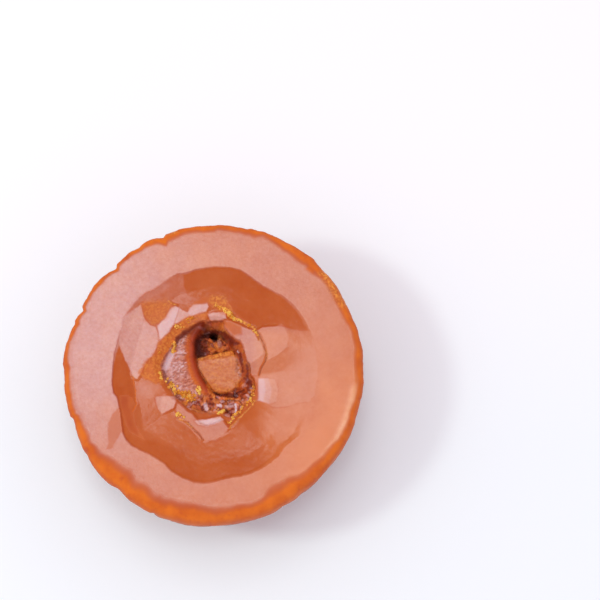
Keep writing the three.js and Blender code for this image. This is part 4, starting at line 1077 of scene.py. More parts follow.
@dataclass
class Shell:
    """The block's outside: its uneven outline, the rounded rim and the creased dome."""

    height: float = 48.0
    mean_radius: float = 50.1
    widest_drop: float = 4.0
    dome_depth: float = 44.5
    dome_fullness: float = 2.2
    rim_fullness: float = 2.3
    rim_widths: tuple[float, ...] = (
        3.4, 2.6, 2.2, 2.0, 2.0, 2.0, 2.2, 2.6, 4.4, 4.2, 3.8, 3.6, 4.2, 4.4, 4.0, 3.6,
    )
    waves: tuple[Wave, ...] = (
        Wave(2, 0.55, 75), Wave(3, 0.12, 20), Wave(4, 0.16, 350), Wave(5, 0.09, 40), Wave(7, 0.08, 12),
    )
    creases: tuple[Crease, ...] = (
        Crease(5, 0.5, 2.2, 10, 21), Crease(20, 0.5, 2.4, 8, 30), Crease(34, 0.4, 2.2, 14, 26),
        Crease(46, 0.8, 2.6, 3, 15), Crease(67, 0.5, 2.2, 12, 27), Crease(77.5, 0.7, 2.8, 3, 17),
        Crease(96, 0.7, 2.4, 9, 34), Crease(112, 1.2, 3.0, 3, 20), Crease(123.5, 0.7, 2.4, 14, 31),
        Crease(133.5, 1.2, 3.0, 3, 27), Crease(146, 0.5, 2.2, 17, 32), Crease(155, 1.1, 2.8, 3, 16),
        Crease(166, 0.6, 2.4, 9, 23), Crease(179.5, 0.8, 2.6, 4, 33), Crease(190, 0.45, 2.2, 18, 30),
        Crease(199, 1.2, 3.0, 3, 21), Crease(214, 0.8, 2.4, 8, 19), Crease(228.5, 1.25, 3.0, 4, 30),
        Crease(238, 0.5, 2.2, 15, 27), Crease(247, 1.2, 2.8, 4, 17), Crease(258, 0.6, 2.4, 12, 32),
        Crease(270, 0.9, 2.6, 6, 20), Crease(285, 0.6, 2.4, 14, 33), Crease(297, 0.7, 2.4, 6, 16),
        Crease(308, 0.5, 2.2, 12, 25), Crease(318, 0.9, 2.8, 5, 29), Crease(332, 0.6, 2.4, 9, 19),
        Crease(350, 1.0, 2.8, 4, 27),
    )
    crease_pitch: float = 0.9375
    crease_width: float = 1.8
    steps: tuple[Step, ...] = (
        Step(46, 0.3, 3.0), Step(77, 0.4, 3.5), Step(110.3, 1.25, 4.2), Step(120.5, 0.55, 3.6),
        Step(132.6, 1.5, 5.0), Step(154.2, 1.15, 3.6), Step(160.4, 0.5, 3.4), Step(178, 0.4, 3.0),
        Step(198.6, 1.15, 5.0), Step(213, 0.4, 4.0), Step(230.6, 0.55, 4.4), Step(247.6, 0.45, 4.0),
        Step(318, 0.25, 4.0),
    )
    step_end: float = 11.0
    rib_end: float = 28.0
    crease_start: float = 4.0
    crease_end: float = 9.0
    lean_most: float = 8.0
    lean_count: int = 3
    lean_phase: float = 40.0
    lean_full: float = 40.0
    curl_most: float = 2.4
    curl_turn: float = 0.17
    crease_swell: float = 0.45
    step_ease: Point = (-1.4, 0.9)
    step_stretch: float = 1.6
    step_curve: float = 1.6
    ribs: tuple[Ripple, ...] = (Ripple(0.45, 4.5, 101), Ripple(0.5, 13.0, 104, 1))

    def crease(self, angle: Array, level: Array) -> tuple[Array, Array]:
        """Depth of the creases, and how sharply each point lies in one.

        Args:
            angle: Angles in degrees, before the lean.
            level: Levels below the widest one.

        Returns:
            The depth, and a share that is 1 at the bottom of a full crease.
        """
        depth = np.zeros(np.broadcast(angle, level).shape)
        line = np.zeros_like(depth)
        for crease in self.creases:
            middle = round(crease.at / self.crease_pitch) * self.crease_pitch
            off = (angle - middle + 180.0) % 360.0 - 180.0
            run = smooth(crease.start - self.crease_start, crease.start, level)
            run = run * smooth(crease.end, crease.end - self.crease_end, level)
            cut = np.clip(1.0 - np.abs(off) / self.crease_width, 0.0, 1.0)
            depth += crease.depth * run * (cut + self.crease_swell * np.exp(-((off / crease.half) ** 2)))
            sharp = np.clip(1.0 - 0.85 * np.abs(off) / self.crease_pitch, 0.0, 1.0)
            sharp = sharp * smooth(-3.0, 3.0, level)
            line = np.maximum(line, run * sharp * min(1.0, 0.35 + 0.8 * crease.depth))
        return depth, line

    def radius(self, angle: Array, level: Array) -> Array:
        """Radius of the outline at an angle and level, with its waves and creases."""
        waves = sum(w.height * np.cos(np.radians(w.count * (angle - w.crest))) for w in self.waves)
        for step in self.steps:
            off = (angle - step.at + 180.0) % 360.0 - 180.0
            left = np.clip(1.0 - off / (self.step_stretch * step.run), 0.0, 1.0) ** self.step_curve
            back = np.where(off > 0.0, left, 1.0)
            cut = step.depth * smooth(*self.step_ease, off) * back
            waves = waves - cut * smooth(self.step_end, 0.0, level)
        x, y = on_circle((0.0, 0.0), self.mean_radius, angle)
        waves = waves + relief(x, y, self.ribs) * smooth(self.rib_end, 0.0, level)
        return self.mean_radius + waves - self.crease(angle, level)[0]

    def lean(self, angle: Array, level: Array) -> Array:
        """How far round the dome's surface is turned, so that the creases lean."""
        turn = np.sin(np.radians(self.lean_count * angle + self.lean_phase))
        curl = np.sin(np.radians(5.0 * angle) + self.curl_turn * level) * smooth(0.0, 9.0, level)
        curl = curl * smooth(self.height - self.widest_drop, self.lean_full - 12.0, level)
        return self.lean_most * turn * smooth(0.0, self.lean_full, level) + self.curl_most * curl

    def rim_profile(self, count: int) -> list[tuple[float, float]]:
        """Share of the rim's width still to go, and level, for rings over the rounded rim."""
        turns = [math.radians(90.0 * j / count) for j in range(1, count + 1)]
        power = 2.0 / self.rim_fullness
        drop = self.widest_drop
        return [(1.0 - math.sin(t) ** power, -drop * max(math.cos(t), 0.0) ** power) for t in turns]

    def dome_profile(self, count: int) -> list[tuple[float, float]]:
        """Share of the full radius, and level, for rings down the dome to its flat spot."""
        power = 2.0 / self.dome_fullness
        reach = ((self.height - self.widest_drop) / self.dome_depth) ** (self.dome_fullness / 2.0)
        turns = [math.asin(reach) * j / count for j in range(1, count + 1)]
        return [(math.cos(t) ** power, self.dome_depth * math.sin(t) ** power) for t in turns]


# ---------------------------------------------------------------- the skin's mesh


@dataclass
class Rings:
    """Rings of the skin from the middle outwards: each ring's points in millimetres and its zones."""

    points: list[Array] = field(default_factory=list)
    zones: list[Zones] = field(default_factory=list)

    def add(self, points: Array, zones: Zones) -> None:
        """Add one ring."""
        self.points.append(points)
        self.zones.append(zones)

    def counts(self) -> list[int]:
        """How many points each ring has."""
        return [len(points) for points in self.points]


@dataclass
class BlockSkin:
    """The block as one closed skin of rings, from the slab's middle out over the rim to the flat spot."""

    face: SetFace = field(default_factory=SetFace)
    pit: Pit = field(default_factory=Pit)
    crumbs: CrumbMap = field(default_factory=CrumbMap)
    shell: Shell = field(default_factory=Shell)
    middle: Point = (2.6, 1.4)
    columns: int = 768
    inner_rows: int = 30
    pit_rows: int = 42
    dish_rows: int = 50
    band_rows: int = 20
    rim_rows: int = 10
    dome_rows: int = 44
    inner_reach: float = 7.5
    pit_reach: float = 20.0
    dish_reach: float = 37.6
    swell: float = 0.07
    face_grain: tuple[Ripple, ...] = (Ripple(0.005, 1.6, 9, 2),)
    dome_rough: tuple[Ripple, ...] = (Ripple(0.15, 5.0, 95), Ripple(0.03, 1.1, 97, 2))
    dome_bands: tuple[Ripple, ...] = (Ripple(0.06, 1.8, 99, 2),)
    band_stretch: float = 6.0
    dome_sink: float = 0.1
    gold_at: float = 33.0
    gold_half: float = 13.0

    def build(self) -> bpy.types.Object:
        """Make the skin's mesh object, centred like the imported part.

        Returns:
            The mesh object with one attribute for each zone.
        """
        rings = Rings()
        self._add_face(rings)
        self._add_side(rings)
        rings.add(np.zeros((1, 3)), {zone: np.full(1, float(zone is Zone.SIDE)) for zone in Zone})
        points = np.vstack(rings.points)
        low, high = points.min(axis=0), points.max(axis=0)
        points = points - np.array([(low[0] + high[0]) / 2, (low[1] + high[1]) / 2, 0.0])
        mesh = bpy.data.meshes.new("block_skin")
        mesh.from_pydata((points * MM).tolist(), [], self._faces(rings.counts()[1:-1]))
        for zone in Zone:
            values = np.clip(np.concatenate([zones[zone] for zones in rings.zones]), 0.0, 1.0)
            layer = mesh.attributes.new(zone.value, "FLOAT", "POINT")
            layer.data.foreach_set("value", values.astype(np.float32))
        mesh.shade_smooth()
        mesh.update()
        skin = bpy.data.objects.new("block_skin", mesh)
        bpy.context.collection.objects.link(skin)
        return skin

    def _face_plan(self) -> list[tuple[Array, Array]]:
        """Where the set face's rings lie, seen from above, from the slab's middle to the rim's start."""
        angle = {step: 360.0 * np.arange(0, self.columns, step) / self.columns for step in (1, 2, 4)}
        plan = [(np.array([self.middle[0]]), np.array([self.middle[1]]))]
        for row in range(1, self.inner_rows + 1):
            plan.append(on_circle(self.middle, self.inner_reach * row / self.inner_rows, angle[4]))
        inner = on_circle(self.middle, self.inner_reach, angle[2])
        outer = {step: on_circle(self.pit.centre, self.pit_reach, angle[step]) for step in (1, 2)}
        for row in range(1, self.pit_rows + 1):
            plan.append(tuple(mix(a, b, row / self.pit_rows) for a, b in zip(inner, outer[2])))
        dish = on_circle(self.face.dish_middle, self.dish_reach, angle[1])
        for row in range(1, self.dish_rows + 1):
            plan.append(tuple(mix(a, b, row / self.dish_rows) for a, b in zip(outer[1], dish)))
        top = np.full_like(angle[1], -self.shell.widest_drop)
        rim_start = self.shell.radius(angle[1], top) - around(self.shell.rim_widths, angle[1])
        rim = on_circle((0.0, 0.0), rim_start, angle[1])
        for row in range(1, self.band_rows + 1):
            share = 1.0 - (1.0 - row / self.band_rows) ** 1.2
            plan.append(tuple(mix(a, b, share) for a, b in zip(dish, rim)))
        return plan

    def _add_face(self, rings: Rings) -> None:
        """Add the rings of the set face with its dish, plates and pit."""
        plan = self._face_plan()
        x, y = (np.concatenate([ring[axis] for ring in plan]) for axis in (0, 1))
        turn, reach = polar(x, y)
        edge_gap = self.shell.radius(turn, np.full_like(turn, -self.shell.widest_drop)) - reach
        depth = self.pit.depth(x, y, self.face.depth(x, y))
        swell = self.swell * (1.0 + Noise.waves(x, y, 16.0, 3, 2)) + relief(x, y, self.face_grain)
        z = self.shell.height - np.maximum(depth + swell, 0.0)
        zones = self.face.paint(x, y, edge_gap)
        self.pit.paint(x, y, depth, zones)
        self.crumbs.paint(x + self.pit.look[0] * depth, y - self.pit.look[1] * depth, zones)
        ends = np.cumsum([len(ring[0]) for ring in plan])
        for start, end in zip(np.concatenate([[0], ends[:-1]]), ends):
            part = slice(start, end)
            rings.add(np.column_stack([x[part], y[part], z[part]]), {key: zones[key][part] for key in zones})

    def _add_side(self, rings: Rings) -> None:
        """Add the rings over the rounded rim and down the dome."""
        shell = self.shell
        turn = 360.0 * np.arange(self.columns) / self.columns
        width = around(shell.rim_widths, turn)
        for share, level in shell.rim_profile(self.rim_rows):
            levels = np.full_like(turn, level)
            gap = width * share
            points = self._side_points(turn, levels, shell.radius(turn, levels) - gap)
            rings.add(points, self.face.paint(points[:, 0], points[:, 1], gap))
        for row, (share, level) in enumerate(shell.dome_profile(self.dome_rows)):
            step = 8 if row > self.dome_rows - 6 else 4 if row > self.dome_rows - 14 else 2
            part = turn[::step]
            levels = np.full_like(part, level)
            points = self._side_points(part, levels, shell.radius(part, levels) * share)
            rings.add(points, self._dome_zones(part, levels))

    def _dome_zones(self, turn: Array, levels: Array) -> Zones:
        """What the dome is made of: a bright rim, dull skin, creases darkened by painted shade and a few
        golden specks.
        """
        arc = turn * DEGREE_RUN
        speck = Noise.waves(arc, levels, 3.0, 92, 3)
        rim = smooth(8.0, 0.5, levels + 2.0 * Noise.waves(arc, levels, 6.0, 93, 2))
        off = (turn - self.gold_at + 180.0) % 360.0 - 180.0
        window = np.exp(-((off / self.gold_half) ** 2)) * smooth(10.0, 3.0, levels)
        zones = {zone: np.zeros(np.shape(turn)) for zone in Zone}
        zones[Zone.AMBER] = rim
        zones[Zone.SIDE] = 1.0 - rim
        # Painted shade along the creases.
        zones[Zone.CREASE] = 0.9 * self.shell.crease(turn, levels)[1]
        zones[Zone.RED] = 0.4 * smooth(5.0, 0.0, levels)
        zones[Zone.GRAIN] = np.clip(window * (0.6 + 1.2 * speck) + smooth(0.62, 0.75, speck) * 0.7, 0.0, 0.9)
        return zones

    def _side_points(self, turn: Array, levels: Array, radius: Array) -> Array:
        """Points of one ring on the outside of the block."""
        shell = self.shell
        arc = turn * DEGREE_RUN
        bands = relief(arc / self.band_stretch, levels, self.dome_bands)
        rough = relief(arc, levels, self.dome_rough) + bands
        fade = smooth(0.0, 6.0, radius) * smooth(0.0, 2.0, shell.height - shell.widest_drop - levels)
        fade = fade * smooth(-4.0, -1.5, levels)
        radius = radius + (rough - self.dome_sink) * fade
        x, y = on_circle((0.0, 0.0), radius, turn + shell.lean(turn, levels))
        return np.column_stack([x, y, shell.height - shell.widest_drop - levels])

    @staticmethod
    def _faces(counts: list[int]) -> list[tuple[int, ...]]:
        """Faces between rings, each as long as the last, twice as long or half as long.

        Args:
            counts: How many points each ring has, without the single points at both ends.

        Returns:
            The faces, pointing outwards, with a fan at each end.
        """
        starts = np.concatenate([[1], 1 + np.cumsum(counts)]).tolist()
        faces = [(0, starts[0] + i, starts[0] + (i + 1) % counts[0]) for i in range(counts[0])]
        for ring, (inner, outer) in enumerate(zip(counts, counts[1:])):
            near, far = starts[ring], starts[ring + 1]
            for i in range(min(inner, outer)):
                j = (i + 1) % min(inner, outer)
                if inner == outer:
                    faces.append((near + i, far + i, far + j, near + j))
                elif inner < outer:
                    middle = far + 2 * i + 1
                    faces.append((near + i, far + 2 * i, middle))
                    faces.append((near + i, middle, near + j))
                    faces.append((near + j, middle, far + 2 * j))
                else:
                    middle = near + 2 * i + 1
                    faces.append((near + 2 * i, far + i, middle))
                    faces.append((middle, far + i, far + j))
                    faces.append((middle, far + j, near + 2 * j))
        tail, last = starts[-2], starts[-1]
        faces += [(last, tail + (i + 1) % counts[-1], tail + i) for i in range(counts[-1])]
        return faces


# ---------------------------------------------------------------- finishes


def add_node(tree: bpy.types.NodeTree, kind: str, **settings: object) -> bpy.types.Node:
    """Add a node of a kind to a tree and set its properties."""
    node = tree.nodes.new(kind)
    for name, value in settings.items():
        setattr(node, name, value)
    return node


class Nodes:
    """Small helper that adds and links shader nodes."""

    def __init__(self, material: bpy.types.Material) -> None:
        """Clear the material's tree and keep it."""
        material.use_nodes = True
        self.tree = material.node_tree
        self.tree.nodes.clear()

    def add(self, kind: str, **settings: object) -> bpy.types.Node:
        """Add a node of a kind and set its properties."""
        return add_node(self.tree, kind, **settings)

    def link(self, source: Socket, target: Socket) -> None:
        """Join two sockets."""
        self.tree.links.new(source, target)

    def feed(self, value: Socket | float | Colour, target: Socket) -> None:
        """Link a socket to another, or give it a fixed value."""
        if isinstance(value, Socket):
            self.link(value, target)
        else:
            target.default_value = value

    def surface(self) -> bpy.types.Node:
        """Add a Principled shader that is the material's surface."""
        shader = self.add("ShaderNodeBsdfPrincipled")
        self.link(shader.outputs["BSDF"], self.add("ShaderNodeOutputMaterial").inputs["Surface"])
        return shader

    def zone(self, zone: Zone) -> Socket:
        """The socket that reads a zone's attribute."""
        return self.add("ShaderNodeAttribute", attribute_name=zone.value).outputs["Fac"]

    def noise(self, scale: float, detail: float, roughness: float = 0.5) -> Socket:
        """Noise on Object coordinates, as a factor."""
        place = self.add("ShaderNodeTexCoord")
        node = self.add("ShaderNodeTexNoise")
        node.inputs["Scale"].default_value = scale
        node.inputs["Detail"].default_value = detail
        node.inputs["Roughness"].default_value = roughness
        self.link(place.outputs["Object"], node.inputs["Vector"])
        return node.outputs["Fac"]

    def remap(self, value: Socket, low: float, high: float, to_low: float = 0.0,
              to_high: float = 1.0) -> Socket:
        """Map a range of a value to another range, clamped."""
        node = self.add("ShaderNodeMapRange")
        self.link(value, node.inputs["Value"])
        for name, number in zip(("From Min", "From Max", "To Min", "To Max"), (low, high, to_low, to_high)):
            node.inputs[name].default_value = number
        return node.outputs["Result"]

    def math(self, operation: str, a: Socket, b: Socket) -> Socket:
        """Join two values by an operation, clamped to 0 to 1."""
        node = self.add("ShaderNodeMath", operation=operation, use_clamp=True)
        self.link(a, node.inputs[0])
        self.link(b, node.inputs[1])
        return node.outputs["Value"]

    def blend(self, factor: Socket, a: Socket | Colour, b: Socket | Colour) -> Socket:
        """Mix two colours by a factor."""
        node = self.add("ShaderNodeMix", data_type="RGBA")
        self.link(factor, node.inputs["Factor"])
        self.feed(a, node.inputs[6])
        self.feed(b, node.inputs[7])
        return node.outputs[2]

    def blend_value(self, factor: Socket, a: Socket, b: Socket | float) -> Socket:
        """Mix two numbers by a factor."""
        node = self.add("ShaderNodeMix", data_type="FLOAT")
        self.link(factor, node.inputs["Factor"])
        self.link(a, node.inputs[2])
        self.feed(b, node.inputs[3])
        return node.outputs[0]

    def bump(self, height: Socket, distance: float, strength: Socket | float) -> Socket:
        """Turn a height into a bumped normal."""
        node = self.add("ShaderNodeBump")
        node.inputs["Distance"].default_value = distance
        self.feed(strength, node.inputs["Strength"])
        self.link(height, node.inputs["Height"])
        return node.outputs["Normal"]


@dataclass(frozen=True)
class Glow:
    """How light spreads under a surface.

    Attributes:
        share: How much of the light does so.
        reach: How far it gets in red, green and blue, in shares of the scale.
        scale: The farthest it gets, in metres.
    """

    share: float
    reach: tuple[float, float, float]
    scale: float

    def set_on(self, shader: bpy.types.Node) -> None:
        """Give it to a Principled shader."""
        shader.inputs["Subsurface Weight"].default_value = self.share
        shader.inputs["Subsurface Radius"].default_value = self.reach
        shader.inputs["Subsurface Scale"].default_value = self.scale


@dataclass(frozen=True)
class JaggeryFinish:
    """The skin: waxy orange-brown sugar, pale where it set in the open, granular and wet where it broke; its
    colours also carry painted sheen, painted glints and painted shade.
    """

    body: Colour = (0.48, 0.083, 0.011, 1.0)
    warm: Colour = (0.68, 0.185, 0.05, 1.0)
    # Pale skin, also the colour of the painted sheen.
    bloom_and_sheen: Colour = (0.68, 0.36, 0.325, 1.0)
    # Warm end of the pale skin, and colour of the painted peach highlight.
    peach_sheen: Colour = (0.87, 0.44, 0.245, 1.0)
    amber: Colour = (0.76, 0.165, 0.006, 1.0)
    amber_dark: Colour = (0.64, 0.115, 0.004, 1.0)
    side: Colour = (0.42, 0.105, 0.040, 1.0)
    side_dark: Colour = (0.28, 0.055, 0.018, 1.0)
    grain: Colour = (0.93, 0.40, 0.055, 1.0)
    grain_dark: Colour = (0.52, 0.12, 0.012, 1.0)
    red: Colour = (0.50, 0.046, 0.003, 1.0)
    # Dark syrup, also used as painted shade in the pit.
    syrup_and_shade: Colour = (0.17, 0.018, 0.007, 1.0)
    # Colour of the painted glints and highlights.
    painted_glint: Colour = (0.80, 0.60, 0.64, 1.0)
    # Near-black painted shade for creases, cracks and the hole.
    crease: Colour = (0.03, 0.003, 0.002, 1.0)
    roughness: tuple[tuple[Zone, float], ...] = (
        (Zone.BLOOM, 0.27), (Zone.SIDE, 0.5), (Zone.AMBER, 0.8), (Zone.GRAIN, 0.5), (Zone.RED, 0.5),
        (Zone.SYRUP_AND_SHADE, 0.34), (Zone.CREASE, 0.9),
    )
    body_roughness: Point = (0.13, 0.17)
    refraction: float = 1.5
    glow: Glow = Glow(0.12, (1.0, 0.35, 0.12), 0.0018)
    bump_height: float = 0.0002

    def material(self) -> bpy.types.Material:
        """Build the skin's material.

        Returns:
            A node material that reads the zones and adds speckle, mottling and fine relief.
        """
        material = bpy.data.materials.new("jaggery_skin")
        nodes = Nodes(material)
        shader = nodes.surface()
        nodes.link(self._colour(nodes), shader.inputs["Base Color"])
        nodes.link(self._roughness(nodes), shader.inputs["Roughness"])
        nodes.link(self._relief(nodes), shader.inputs["Normal"])
        shader.inputs["IOR"].default_value = self.refraction
        self.glow.set_on(shader)
        return material

    def _colour(self, nodes: Nodes) -> Socket:
        """Colour from the zones, mottled and speckled, with the painted sheen, glints and shade that the
        zones carry.
        """
        mottle = nodes.remap(nodes.noise(120.0, 4.0, 0.55), 0.3, 0.7, -0.11, 0.11)
        warm = nodes.math("ADD", nodes.zone(Zone.WARM), mottle)
        colour = nodes.blend(warm, self.body, self.warm)
        side = nodes.blend(nodes.remap(nodes.noise(70.0, 5.0, 0.6), 0.35, 0.65), self.side_dark, self.side)
        colour = nodes.blend(nodes.zone(Zone.SIDE), colour, side)
        bloom_and_sheen = nodes.blend(warm, self.bloom_and_sheen, self.peach_sheen)
        speckle = nodes.remap(nodes.noise(950.0, 3.0, 0.6), 0.3, 0.7, 0.84, 1.16)
        colour = nodes.blend(nodes.math("MULTIPLY", nodes.zone(Zone.BLOOM), speckle), colour, bloom_and_sheen)
        depth = nodes.remap(nodes.noise(170.0, 3.0, 0.5), 0.35, 0.6)
        orange = nodes.blend(depth, self.amber_dark, self.amber)
        colour = nodes.blend(nodes.zone(Zone.AMBER), colour, orange)
        grains = nodes.blend(nodes.remap(nodes.noise(1300.0, 3.0), 0.42, 0.6), self.grain_dark, self.grain)
        clumps = nodes.remap(nodes.noise(600.0, 3.0), 0.35, 0.6, 0.45, 1.15)
        colour = nodes.blend(nodes.math("MULTIPLY", nodes.zone(Zone.GRAIN), clumps), colour, grains)
        colour = nodes.blend(nodes.zone(Zone.RED), colour, self.red)
        colour = nodes.blend(nodes.zone(Zone.SYRUP_AND_SHADE), colour, self.syrup_and_shade)
        colour = nodes.blend(nodes.zone(Zone.PAINTED_GLINT), colour, self.painted_glint)
        return nodes.blend(nodes.zone(Zone.CREASE), colour, self.crease)

    def _roughness(self, nodes: Nodes) -> Socket:
        """Satin skin, dull grains, glossy syrup."""
        rough = nodes.remap(nodes.noise(300.0, 3.0), 0.3, 0.7, *self.body_roughness)
        for zone, roughness in self.roughness:
            rough = nodes.blend_value(nodes.zone(zone), rough, roughness)
        return rough

    def _relief(self, nodes: Nodes) -> Socket:
        """Fine relief: soft grain everywhere, coarse grain in broken sugar."""
        grain = nodes.zone(Zone.GRAIN)
        height = nodes.blend_value(grain, nodes.noise(700.0, 4.0, 0.6), nodes.noise(1500.0, 2.0, 0.7))
        rough = nodes.math("ADD", nodes.zone(Zone.BLOOM), nodes.zone(Zone.GRAIN))
        strength = nodes.remap(rough, 0.0, 0.5, 0.06, 0.45)
        return nodes.bump(height, self.bump_height, strength)


@dataclass(frozen=True)
class CrumbFinish:
    """Loose crumbs: clear golden sugar crystals."""

    light: Colour = (1.0, 0.55, 0.10, 1.0)
    dark: Colour = (0.76, 0.24, 0.02, 1.0)
    roughness: Point = (0.2, 0.45)
    glow: Glow = Glow(0.25, (1.0, 0.5, 0.15), 0.0006)
    bump_height: float = 0.0001
    bump_strength: float = 0.5

    def material(self) -> bpy.types.Material:
        """Build the crumbs' material."""
        material = bpy.data.materials.new("golden_crumb")
        nodes = Nodes(material)
        shader = nodes.surface()
        tone = nodes.remap(nodes.noise(420.0, 2.0), 0.38, 0.6)
        nodes.link(nodes.blend(tone, self.dark, self.light), shader.inputs["Base Color"])
        rough = nodes.remap(nodes.noise(2500.0, 2.0), 0.3, 0.7, *self.roughness)
        nodes.link(rough, shader.inputs["Roughness"])
        bumped = nodes.bump(nodes.noise(3500.0, 2.0), self.bump_height, self.bump_strength)
        nodes.link(bumped, shader.inputs["Normal"])
        self.glow.set_on(shader)
        return material


# ---------------------------------------------------------------- crumbs


@dataclass
class Crumbs:
    """Loose golden crumbs, scattered over the skin where its crumb zone says, each with its own shape."""

    density: float = 5.6e6
    smallest: float = 0.15
    largest: float = 0.55
    seed: int = 7
    break_scale: float = 1700.0
    break_reach: float = 1.1

    def build(self, skin: bpy.types.Object, material: bpy.types.Material) -> bpy.types.Object:
        """Scatter the crumbs and keep them as one mesh.

        Args:
            skin: The block's skin, with its zone attributes.
            material: The crumbs' finish.

        Returns:
            The crumbs' mesh object.
        """
        carrier = bpy.data.objects.new("crumb_carrier", skin.data.copy())
        bpy.context.collection.objects.link(carrier)
        tree = self._tree()
        scatter = carrier.modifiers.new("scatter", "NODES")
        scatter.node_group = tree
        names = {item.name: item.identifier for item in tree.interface.items_tree if item.in_out == "INPUT"}
        scatter[names["Density"]] = self.density
        scatter[names["Smallest"]] = self.smallest * MM
        scatter[names["Largest"]] = self.largest * MM
        scatter[names["Seed"]] = self.seed
        scatter[names["Material"]] = material
        bpy.context.view_layer.update()
        shaped = carrier.evaluated_get(bpy.context.evaluated_depsgraph_get())
        mesh = bpy.data.meshes.new_from_object(shaped)
        mesh.name = "gold_crumbs"
        bpy.data.objects.remove(carrier)
        crumbs = bpy.data.objects.new("gold_crumbs", mesh)
        bpy.context.collection.objects.link(crumbs)
        return crumbs

    def _tree(self) -> bpy.types.GeometryNodeTree:
        """Build the scatter: points where crumbs lie, a broken crystal on each, all made real."""
        tree = bpy.data.node_groups.new("crumb_scatter", "GeometryNodeTree")
        ports = tree.interface
        ports.new_socket("Geometry", in_out="INPUT", socket_type="NodeSocketGeometry")
        for name in ("Density", "Smallest", "Largest"):
            ports.new_socket(name, in_out="INPUT", socket_type="NodeSocketFloat")
        ports.new_socket("Seed", in_out="INPUT", socket_type="NodeSocketInt")
        ports.new_socket("Material", in_out="INPUT", socket_type="NodeSocketMaterial")
        ports.new_socket("Geometry", in_out="OUTPUT", socket_type="NodeSocketGeometry")

        add, link = partial(add_node, tree), tree.links.new
        entry, leave = add("NodeGroupInput"), add("NodeGroupOutput")
        zone = add("GeometryNodeInputNamedAttribute", data_type="FLOAT")
        zone.inputs["Name"].default_value = Zone.CRUMBS.value
        thick = add("ShaderNodeMath", operation="MULTIPLY")
        link(zone.outputs["Attribute"], thick.inputs[0])
        link(entry.outputs["Density"], thick.inputs[1])
        points = add("GeometryNodeDistributePointsOnFaces", distribute_method="RANDOM")
        link(entry.outputs["Geometry"], points.inputs["Mesh"])
        link(thick.outputs[0], points.inputs["Density"])
        link(entry.outputs["Seed"], points.inputs["Seed"])

        crystal = add("GeometryNodeMeshIcoSphere")
        crystal.inputs["Radius"].default_value = 1.0
        crystal.inputs["Subdivisions"].default_value = 2
        turn = add("FunctionNodeRandomValue", data_type="FLOAT_VECTOR")
        turn.inputs["Max"].default_value = (2 * math.pi,) * 3
        link(entry.outputs["Seed"], turn.inputs["Seed"])
        size = add("FunctionNodeRandomValue", data_type="FLOAT")
        link(entry.outputs["Smallest"], size.inputs[2])
        link(entry.outputs["Largest"], size.inputs[3])
        link(entry.outputs["Seed"], size.inputs["Seed"])
        place = add("GeometryNodeInstanceOnPoints")
        link(points.outputs["Points"], place.inputs["Points"])
        link(crystal.outputs["Mesh"], place.inputs["Instance"])
        link(turn.outputs[0], place.inputs["Rotation"])
        link(size.outputs[1], place.inputs["Scale"])
        real = add("GeometryNodeRealizeInstances")
        link(place.outputs["Instances"], real.inputs["Geometry"])

        spot = add("GeometryNodeInputPosition")
        pattern = add("ShaderNodeTexNoise")
        pattern.inputs["Scale"].default_value = self.break_scale
        pattern.inputs["Detail"].default_value = 1.0
        link(spot.outputs["Position"], pattern.inputs["Vector"])
        centred = add("ShaderNodeVectorMath", operation="SUBTRACT")
        centred.inputs[1].default_value = (0.5, 0.5, 0.5)
        link(pattern.outputs["Color"], centred.inputs[0])
        shift = add("ShaderNodeVectorMath", operation="SCALE")
        link(centred.outputs["Vector"], shift.inputs[0])
        shift.inputs["Scale"].default_value = self.break_reach * MM
        break_up = add("GeometryNodeSetPosition")
        link(real.outputs["Geometry"], break_up.inputs["Geometry"])
        link(shift.outputs["Vector"], break_up.inputs["Offset"])
        flat = add("GeometryNodeSetShadeSmooth")
        flat.inputs["Shade Smooth"].default_value = False
        link(break_up.outputs["Geometry"], flat.inputs["Geometry"])
        finish = add("GeometryNodeSetMaterial")
        link(flat.outputs["Geometry"], finish.inputs["Geometry"])
        link(entry.outputs["Material"], finish.inputs["Material"])
        link(finish.outputs["Geometry"], leave.inputs["Geometry"])
        return tree


# ---------------------------------------------------------------- studio


@dataclass(frozen=True)
class Lamp:
    """A round soft light that faces the block.

    Attributes:
        name: Its name.
        place: Where it stands, in mm.
        size: Its diameter in metres.
        radiance: How bright its surface is.
        colour: Its tint.
        glints: Whether it shows in glossy surfaces.
    """

    name: str
    place: tuple[float, float, float]
    size: float
    radiance: float
    colour: tuple[float, float, float] = (1.0, 1.0, 1.0)
    glints: bool = True


